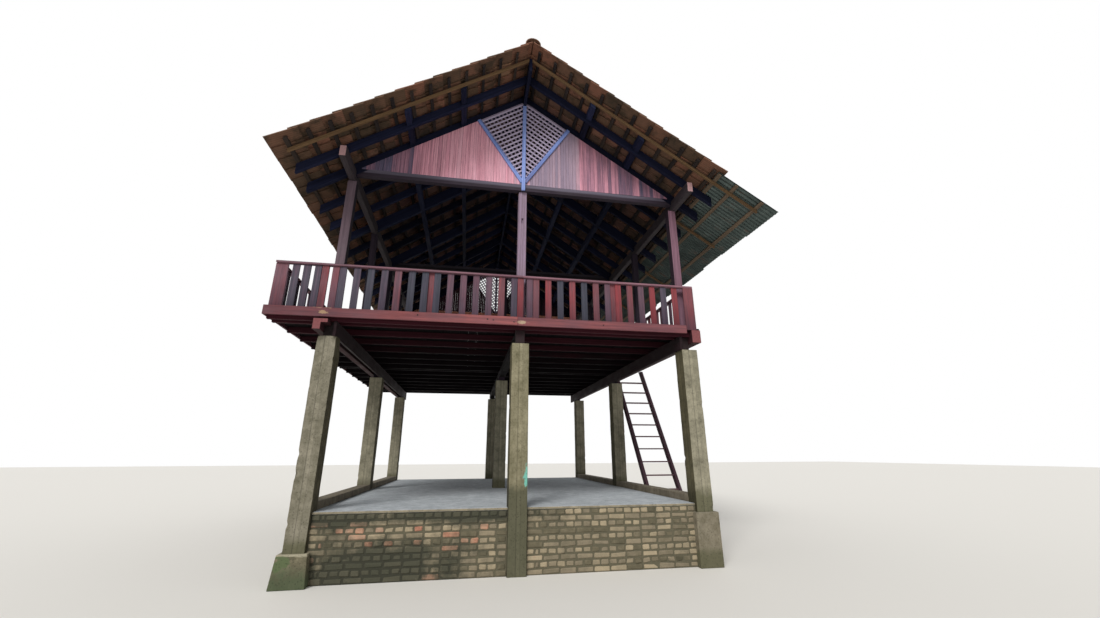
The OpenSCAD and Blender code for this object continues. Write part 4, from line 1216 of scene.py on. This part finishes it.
# The border: its width along the rafter and strut, where it starts, and the same for
# the middle upright.
RIM, RIM_START, UPRIGHT, UPRIGHT_START = 0.020, 0.05, 0.03, 0.08
ALONG, DOWN = GABLE_H * SIN, GABLE_H * COS
# The back layer's lower tone is painted shade.
FRONT_TONE, SHADED_BACK_TONE, BORDER_TONE = 0.78, 0.36, 0.45


def lattice(end):
    """Laths of both halves and their tones. In the frame of a rafter, u runs down it
    from the apex and v square to it, and the half is the triangle v < u * down /
    along. One layer runs along u and the other along v, with a border along the three
    sides. A lath is its four points (u, v) and its outer and inner y."""
    grow, half = ALONG / DOWN, LATH_W / 2
    middle, border = GABLE_FACE - BOARDING / 2, GABLE_FACE - 0.001
    laths = []
    for v in np.arange(LATH_PITCH / 2, DOWN - half, LATH_PITCH):
        v0, v1 = v - half, v + half
        laths.append(([(max(v0, SHORTEST_LATH) * grow, v0), (ALONG, v0), (v1 * grow, v1), (ALONG, v1)],
                      GABLE_FACE, middle, FRONT_TONE))
    for u in np.arange(LATH_PITCH / 2, ALONG - half, LATH_PITCH):
        u0, u1 = u - half, u + half
        laths.append(([(u0, 0.0), (u0, max(u0, SHORTEST_LATH) / grow), (u1, 0.0), (u1, u1 / grow)],
                      middle, FRAME_FACE, SHADED_BACK_TONE))
    head = UPRIGHT_START / grow
    for plan in ([(RIM_START, 0.0), (ALONG, 0.0), (RIM_START + RIM, RIM), (ALONG, RIM)],
                 [(ALONG - RIM, 0.0), (ALONG - RIM, DOWN - RIM), (ALONG, 0.0), (ALONG, DOWN)],
                 [(UPRIGHT_START, head), (ALONG, DOWN), (UPRIGHT_START + UPRIGHT, head),
                  (ALONG, DOWN - UPRIGHT)]):
        laths.append((plan, border, FRAME_FACE, BORDER_TONE))
    plan, outer, inner, tones = (np.array(part) for part in zip(*laths))
    i, j, k = CORNERS.T
    u, v = plan[:, 2 * j + i].transpose(2, 0, 1)
    y = end * np.where(k, outer[:, None], inner[:, None])
    return both_halves(u * COS - v * SIN, y, APEX - u * SIN - v * COS), np.tile(tones, 2)


for end, node in ((-1, "front_lattice"), (1, "rear_lattice")):
    laths, lath_tones = lattice(end)
    place(timbers(node + "_laths", laths, LATTICE_WOOD, arris=0.0015, wobble=0.0008, tone=lath_tones),
          node, node)
    print(node, len(laths), "laths")

# %% Blue cover strips
RIDGE_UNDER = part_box("ridge_board")[0].z
strips = []
for end in (-1, 1):
    y = end * (GABLE_FACE + STRIP_T / 2)
    strips.append(beam([0, y, TIE_LOW.z], [0, y, RIDGE_UNDER], [1, 0, 0], STRIP_W, STRIP_T))
    for side in (-1, 1):
        foot = np.array([0, y, TIE_TOP]) + np.array([side * SIN, 0, COS]) * STRIP_W * 0.75
        head = np.array([side * STRUT_X, y, TIE_TOP + STRUT_X / TAN])
        strips.append(beam(foot, head, [COS, 0, -side * SIN], STRIP_W, STRIP_T - 0.002))
place(timbers("gable_strips_painted", np.concatenate(strips), BLUE_PAINT, arris=0.004, wobble=0.0008),
      "gable_strips", "gable_strips")
print("cover strips", len(strips))

# %% [markdown]
# ## Clay tiles
# The roof is of interlocking clay tiles, about 240 mm wide, hung on battens 300 mm
# apart. Each has a flat pan and a roll at one side that covers its neighbour's
# edge, and its foot lies on the tile below. Instances of one tile would all be
# alike, and these lie a little unevenly. A thousand tiles fit in one mesh if each
# has only a few dozen faces, so a tile is two sheets of 3 by 9 points.


# %% Closed sheets
def sheet_faces(rows, columns):
    """Faces of a closed sheet whose upper grid has rows times columns points and
    whose lower grid follows it: both grids, and a wall round their edge."""
    shift = rows * columns
    top = np.arange(shift).reshape(rows, columns)
    a, b, c, d = top[:-1, :-1], top[1:, :-1], top[1:, 1:], top[:-1, 1:]
    upper = np.stack([a, b, c, d], -1).reshape(-1, 4)
    under = np.stack([a, d, c, b], -1).reshape(-1, 4) + shift
    edge = np.concatenate([top[:, 0], top[-1, 1:], top[-2::-1, -1], top[0, -2:0:-1]])
    after = np.roll(edge, -1)
    wall = np.stack([edge + shift, after + shift, after, edge], -1)
    return np.concatenate([upper, under, wall])


def sheets(name, top, low, finish, turned=False):
    """One piece from closed sheets with upper and lower grids (n, rows, columns, 3)."""
    count, rows, columns = top.shape[:3]
    template = sheet_faces(rows, columns)
    if turned:
        template = template[:, ::-1]
    each = 2 * rows * columns
    points = np.concatenate([top.reshape(count, -1, 3), low.reshape(count, -1, 3)], axis=1)
    faces = (each * np.arange(count)[:, None, None] + template[None]).reshape(-1, 4)
    tone = chance_of(name).beta(2.6, 2.8, count)
    return piece(name, points.reshape(-1, 3), [faces], [finish], tone=np.repeat(tone, each))


print("faces of a sheet of 3 by 9 points", len(sheet_faces(3, 9)))


# %% Points of a slope
# How far the roof reaches to front and rear, and how deep its covering starts above
# the underside of the rafters.
VERGE, COVER = 4.700, 0.155


def on_roof(x0, depth0, down, y, depth, side=1):
    """Points of a slope, from the place x0 on the line of depth0: x grows by cos of
    the pitch times the way down plus sin times the rise in depth, and z by minus
    sin times the way down plus cos times the rise."""
    x = x0 + down * COS + (depth - depth0) * SIN
    z = roof_height(x0, depth0) - down * SIN + (depth - depth0) * COS
    return np.stack(np.broadcast_arrays(side * x, y, z), axis=-1)


print("a point 1 m down from the ridge", on_roof(0.0, COVER, 1.0, 0.0, COVER).round(3))

# %% Roof tiles
GAUGE, TILE_LENGTH, TILE_T, TILE_W = 0.300, 0.430, 0.012, 0.240
TILES_ACROSS = 39
FOOT_DEPTH, TILE_FALL = COVER + 0.040, 0.064
VERGE_GAP, RIDGE_GAP, UNEVEN_ALONG, UNEVEN_UP = 0.030, 0.02, 0.004, 0.0015
# Places across a tile, and how far each one rises: the lip, the pan and the roll.
ACROSS = np.array([0.0, 0.028, 0.034, 0.120, 0.206, 0.222, 0.238, 0.256, 0.270])
RISE = np.array([-0.004, -0.004, 0.0, 0.002, 0.0, 0.010, 0.017, 0.010, 0.003])


def tile_slope(node, side):
    """Tiles of one slope. A tile's point lies s up the slope from its foot, and across
    and above the pan by the section: the slope's line gives its place, and it falls
    towards its head by a fixed rate, so that the next foot lies on it."""
    chance = chance_of(node)
    low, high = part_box(node)
    eave = high.x if side > 0 else -low.x
    width = (2 * VERGE - VERGE_GAP) / TILES_ACROSS
    courses = math.ceil(eave / (GAUGE * COS))
    grid = np.meshgrid(np.arange(courses), np.arange(TILES_ACROSS), indexing="ij")
    i, j = (number.ravel()[:, None, None] for number in grid)
    length = np.minimum(TILE_LENGTH, (eave - RIDGE_GAP) / COS - i * GAUGE)
    s = length * np.array([[0.0], [0.5], [1.0]]) + chance.normal(0, UNEVEN_ALONG, i.shape)
    lift = chance.normal(0, UNEVEN_UP, i.shape) + chance.normal(0, UNEVEN_UP, i.shape) * s
    y = -VERGE + j * width + ACROSS * width / TILE_W
    depth = FOOT_DEPTH - TILE_FALL * s + RISE + lift
    top, low = (on_roof(eave, FOOT_DEPTH, -(i * GAUGE + s), y, d, side)
                for d in (depth, depth - TILE_T))
    place(sheets(node + "_hung", top, low, CLAY, turned=side > 0), node, node)
    print(node, len(i), "tiles")


tile_slope("left_roof_tiles", -1)
tile_slope("right_roof_tiles", 1)

# %% Ridge tiles
CAP_LOW, CAP_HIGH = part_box("ridge_cap")
CAP_R = (CAP_HIGH.x - CAP_LOW.x) / 2
CAPS, CAP_LENGTH, CAP_TAPER, CAP_T = 24, 0.44, 0.016, 0.012


def ridge_tiles():
    """Half-round tiles in a row, each tapering along its length, with its wide end
    over its neighbour's narrow one: x and z are the radius times cos and sin of the
    turn, and the radius shrinks evenly along y."""
    turn = np.linspace(0, math.pi, 13)
    start = -VERGE + 2 * VERGE / CAPS * np.arange(CAPS)[:, None, None]
    reach = np.minimum(CAP_LENGTH, VERGE - start) * np.array([[0.0], [0.5], [1.0]])
    z0 = CAP_LOW.z + chance_of("ridge").normal(0, 0.001, CAPS)[:, None, None]
    found = []
    for inset in (0.0, CAP_T):
        r = CAP_R - CAP_TAPER * reach / CAP_LENGTH - inset
        x, z = r * np.cos(turn), z0 + r * np.sin(turn)
        found.append(np.stack(np.broadcast_arrays(x, start + reach, z), -1))
    return found


place(sheets("ridge_cap_tiles", *ridge_tiles(), CLAY), "ridge_cap", "ridge_cap")
print("ridge tiles", CAPS)

# %% [markdown]
# ## Corrugated sheets
# Below the tiles of the right slope the eave goes on in corrugated steel. A bump
# map would leave the sheets' lower edge straight, so they are a sine wave carried
# down the slope, each overlapping the last.


# %% Painted steel material
# Waves to a metre: runs 71 mm wide and 670 mm long, and blotches 250 mm across.
RUST_RUNS, STEEL_BLOTCHES = (1.5, 14.0, 1.5), 4.0


def painted_steel(name):
    """Coated steel sheet: dark blue-grey paint gone chalky, with rust in runs. It is
    part metal, because the worn paint lets the steel glint through."""
    material, tree = new_finish(name)
    where = add(tree, "TexCoord")["Object"]
    drawn = add(tree, "VectorMath", {0: where, 1: RUST_RUNS}, operation="MULTIPLY")
    run = add(tree, "TexNoise", {"Vector": drawn[0], "Scale": 1.0, "Detail": 5.0})
    blotch = add(tree, "TexNoise", {"Vector": where, "Scale": STEEL_BLOTCHES, "Detail": 6.0,
                                    "Roughness": 0.65})
    shade = add(tree, "ValToRGB", {"Fac": blotch["Fac"]},
                ramp=spread_ramp(["#3b4643", "#4a5754", "#606d69"], 0.3, 0.4))
    rusty = add(tree, "Math", {0: run["Fac"], 1: blotch["Fac"]}, operation="MULTIPLY")
    amount = add(tree, "MapRange", {"Value": rusty[0], "From Min": 0.30, "From Max": 0.42,
                                    "To Max": 0.8})
    colour = add(tree, "Mix", {"Factor": amount[0], 6: shade["Color"],
                               7: srgb("#5f4030")}, data_type="RGBA")
    dull = add(tree, "MapRange", {"Value": amount[0], "To Min": 0.45, "To Max": 0.85})
    shader = add(tree, "BsdfPrincipled", {
        "Base Color": colour[2], "Roughness": dull[0], "Metallic": 0.35})
    add(tree, "OutputMaterial", {"Surface": shader[0]})
    return material


STEEL = painted_steel("chalky_painted_steel_sheet")
print("all finishes of the house", len(finishes_made))

# %% Corrugations
SHEETS, POINTS_ACROSS, POINTS_DOWN = 12, 120, 5
WAVE, WAVE_DEPTH, SHEET_T = 0.076, 0.017, 0.0012
SHEET_SEAT = COVER - WAVE_DEPTH - 0.001
SEAT_GAP, LAP_LIFT, UNEVEN_END = 0.003, 0.0015, 0.012
SHEET_TOP_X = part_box("right_roof_tiles")[1].x - 0.120
SHEET_REACH = 1.200
SHEET_LENGTH = (BAY_X + SHEET_REACH - SHEET_TOP_X) / COS


def corrugated():
    """Twelve sheets of about ten waves. A point's depth is half the wave's height
    times 1 - cos of its place across, and its edge laps one wave over the next."""
    waves = math.floor(2 * VERGE / WAVE) - 1
    number = np.arange(SHEETS)[:, None, None]
    first = np.round(np.linspace(0, waves, SHEETS + 1))[:, None, None]
    span = first[1:] - first[:-1] + (number < SHEETS - 1)
    across = first[:-1] + span * np.linspace(0, 1, POINTS_ACROSS)
    down = (SHEET_LENGTH - UNEVEN_END * (number % 3)) * np.linspace(0, 1, POINTS_DOWN)[:, None]
    rise = WAVE_DEPTH / 2 * (1 - np.cos(2 * math.pi * across))
    depth = SHEET_SEAT + SEAT_GAP + rise + LAP_LIFT * (number % 2)
    y = (across - waves / 2) * WAVE
    return [on_roof(SHEET_TOP_X, SHEET_SEAT, down, y, d) for d in (depth, depth - SHEET_T)]


place(sheets("right_eave_sheets_corrugated", *corrugated(), STEEL),
      "right_eave_sheets", "right_eave_sheets")
print("corrugated sheets", SHEETS)

# %% [markdown]
# ## The ladder
# Two leaning strings carry narrow treads. The strings are cut level at the foot
# and the head. A turned box would need both ends cut off, so each string is made
# as a sheared one, whose corners move along with their height.

# %% Strings and treads
LADDER_PITCH = math.radians(58)
STRING_W, STRING_H, LADDER_W, HOUSED = 0.060, 0.110, 0.595, 0.002
TREAD_T, TREAD_D, TREAD_RISE = 0.025, 0.090, 0.255
LADDER_FOOT = -1.645
string_top = FLOOR + 0.070
slant = STRING_H / math.sin(LADDER_PITCH)
lean = string_top / math.tan(LADDER_PITCH)
i, j, k = CORNERS.T
ladder = [np.stack([x + i * STRING_W, LADDER_FOOT + j * slant + k * lean, k * string_top], 1)[None]
          for x in (RIGHT_EDGE, RIGHT_EDGE + STRING_W + LADDER_W)]
treads = math.floor(FLOOR / TREAD_RISE)
z = FLOOR - TREAD_RISE * np.arange(treads, 0, -1)
y = LADDER_FOOT + (z + TREAD_T / 2) / math.tan(LADDER_PITCH) + (slant - TREAD_D) / 2
tread_low = np.stack([np.full(treads, RIGHT_EDGE + STRING_W - HOUSED), y, z], 1)
ladder.append(boxes(tread_low, tread_low + [LADDER_W + 2 * HOUSED, TREAD_D, TREAD_T]))
place(timbers("ladder_sawn", np.concatenate(ladder), LADDER_WOOD, arris=0.004, wobble=0.0003,
              tone=np.array([0.25, 0.32] + [0.80] * treads)), "ladder", "ladder")
print("ladder treads", treads)

# %% [markdown]
# ## Light, floor and camera
# Soft light from all round and one wide sun from the front left show the house
# about as it is painted. The camera stands low in front of the house and looks up,
# as in the photograph. Its place was solved from the edges of the columns and the
# lines of the roof.

# %% World and sun
world = bpy.data.worlds.new("soft_white_sky")
bpy.context.scene.world = world
world.use_nodes = True
sky = world.node_tree
sky.nodes.clear()
rays = add(sky, "LightPath")
seen = add(sky, "Math", {0: rays["Is Camera Ray"], 1: rays["Is Glossy Ray"]}, operation="MAXIMUM")
seen = add(sky, "Math", {0: seen[0], 1: rays["Is Transmission Ray"]}, operation="MAXIMUM")
strength = add(sky, "MapRange", {"Value": seen[0], "To Min": 0.50, "To Max": 1.0})
background = add(sky, "Background", {"Color": (1, 1, 1, 1), "Strength": strength[0]})
add(sky, "OutputWorld", {"Surface": background[0]})

sun = bpy.data.lights.new("soft_sun", "SUN")
sun.energy = 2.5
sun.angle = math.radians(25)
sun.color = (1.0, 0.98, 0.95)
sun_object = bpy.data.objects.new("soft_sun", sun)
bpy.context.scene.collection.objects.link(sun_object)
sun_object.rotation_euler = (math.radians(52), 0, math.radians(-28))
print("sun", sun.energy)

# %% Pale floor
REACH_OUT = 60.0
floor_mesh = bpy.data.meshes.new("studio_floor")
floor_corners = [(REACH_OUT * x, REACH_OUT * y, 0) for x, y in ((-1, -1), (1, -1), (1, 1), (-1, 1))]
floor_mesh.from_pydata(floor_corners, [], [(0, 1, 2, 3)])
studio, studio_tree = new_finish("matt_pale_floor")
matt = add(studio_tree, "BsdfPrincipled", {"Base Color": srgb("#e4e2dd"), "Roughness": 0.9})
add(studio_tree, "OutputMaterial", {"Surface": matt[0]})
floor_mesh.materials.append(studio)
studio_floor = bpy.data.objects.new("studio_floor", floor_mesh)
bpy.context.scene.collection.objects.link(studio_floor)
print("floor reaches", REACH_OUT, "m")

# %% Camera
CAMERA_AT = (-0.709, -9.979, 1.475)
YAW, TILT, ROLL = 10.288, 17.929, -0.185
FOCAL_PX, WIDTH_PX = 445.71, 1100
camera = bpy.data.cameras.new("photo_view")
camera.sensor_fit = "HORIZONTAL"
camera.sensor_width = 36.0
camera.lens = FOCAL_PX / WIDTH_PX * camera.sensor_width
camera.clip_end = 300
camera_object = bpy.data.objects.new("photo_view", camera)
bpy.context.scene.collection.objects.link(camera_object)
camera_object.matrix_world = (
    Matrix.Translation(CAMERA_AT)
    @ Matrix.Rotation(math.radians(-YAW), 4, "Z")
    @ Matrix.Rotation(math.radians(90 + TILT), 4, "X")
    @ Matrix.Rotation(math.radians(ROLL), 4, "Z"))
bpy.context.scene.camera = camera_object
bpy.context.scene.view_settings.view_transform = "Standard"
print("lens", round(camera.lens, 2), "mm")
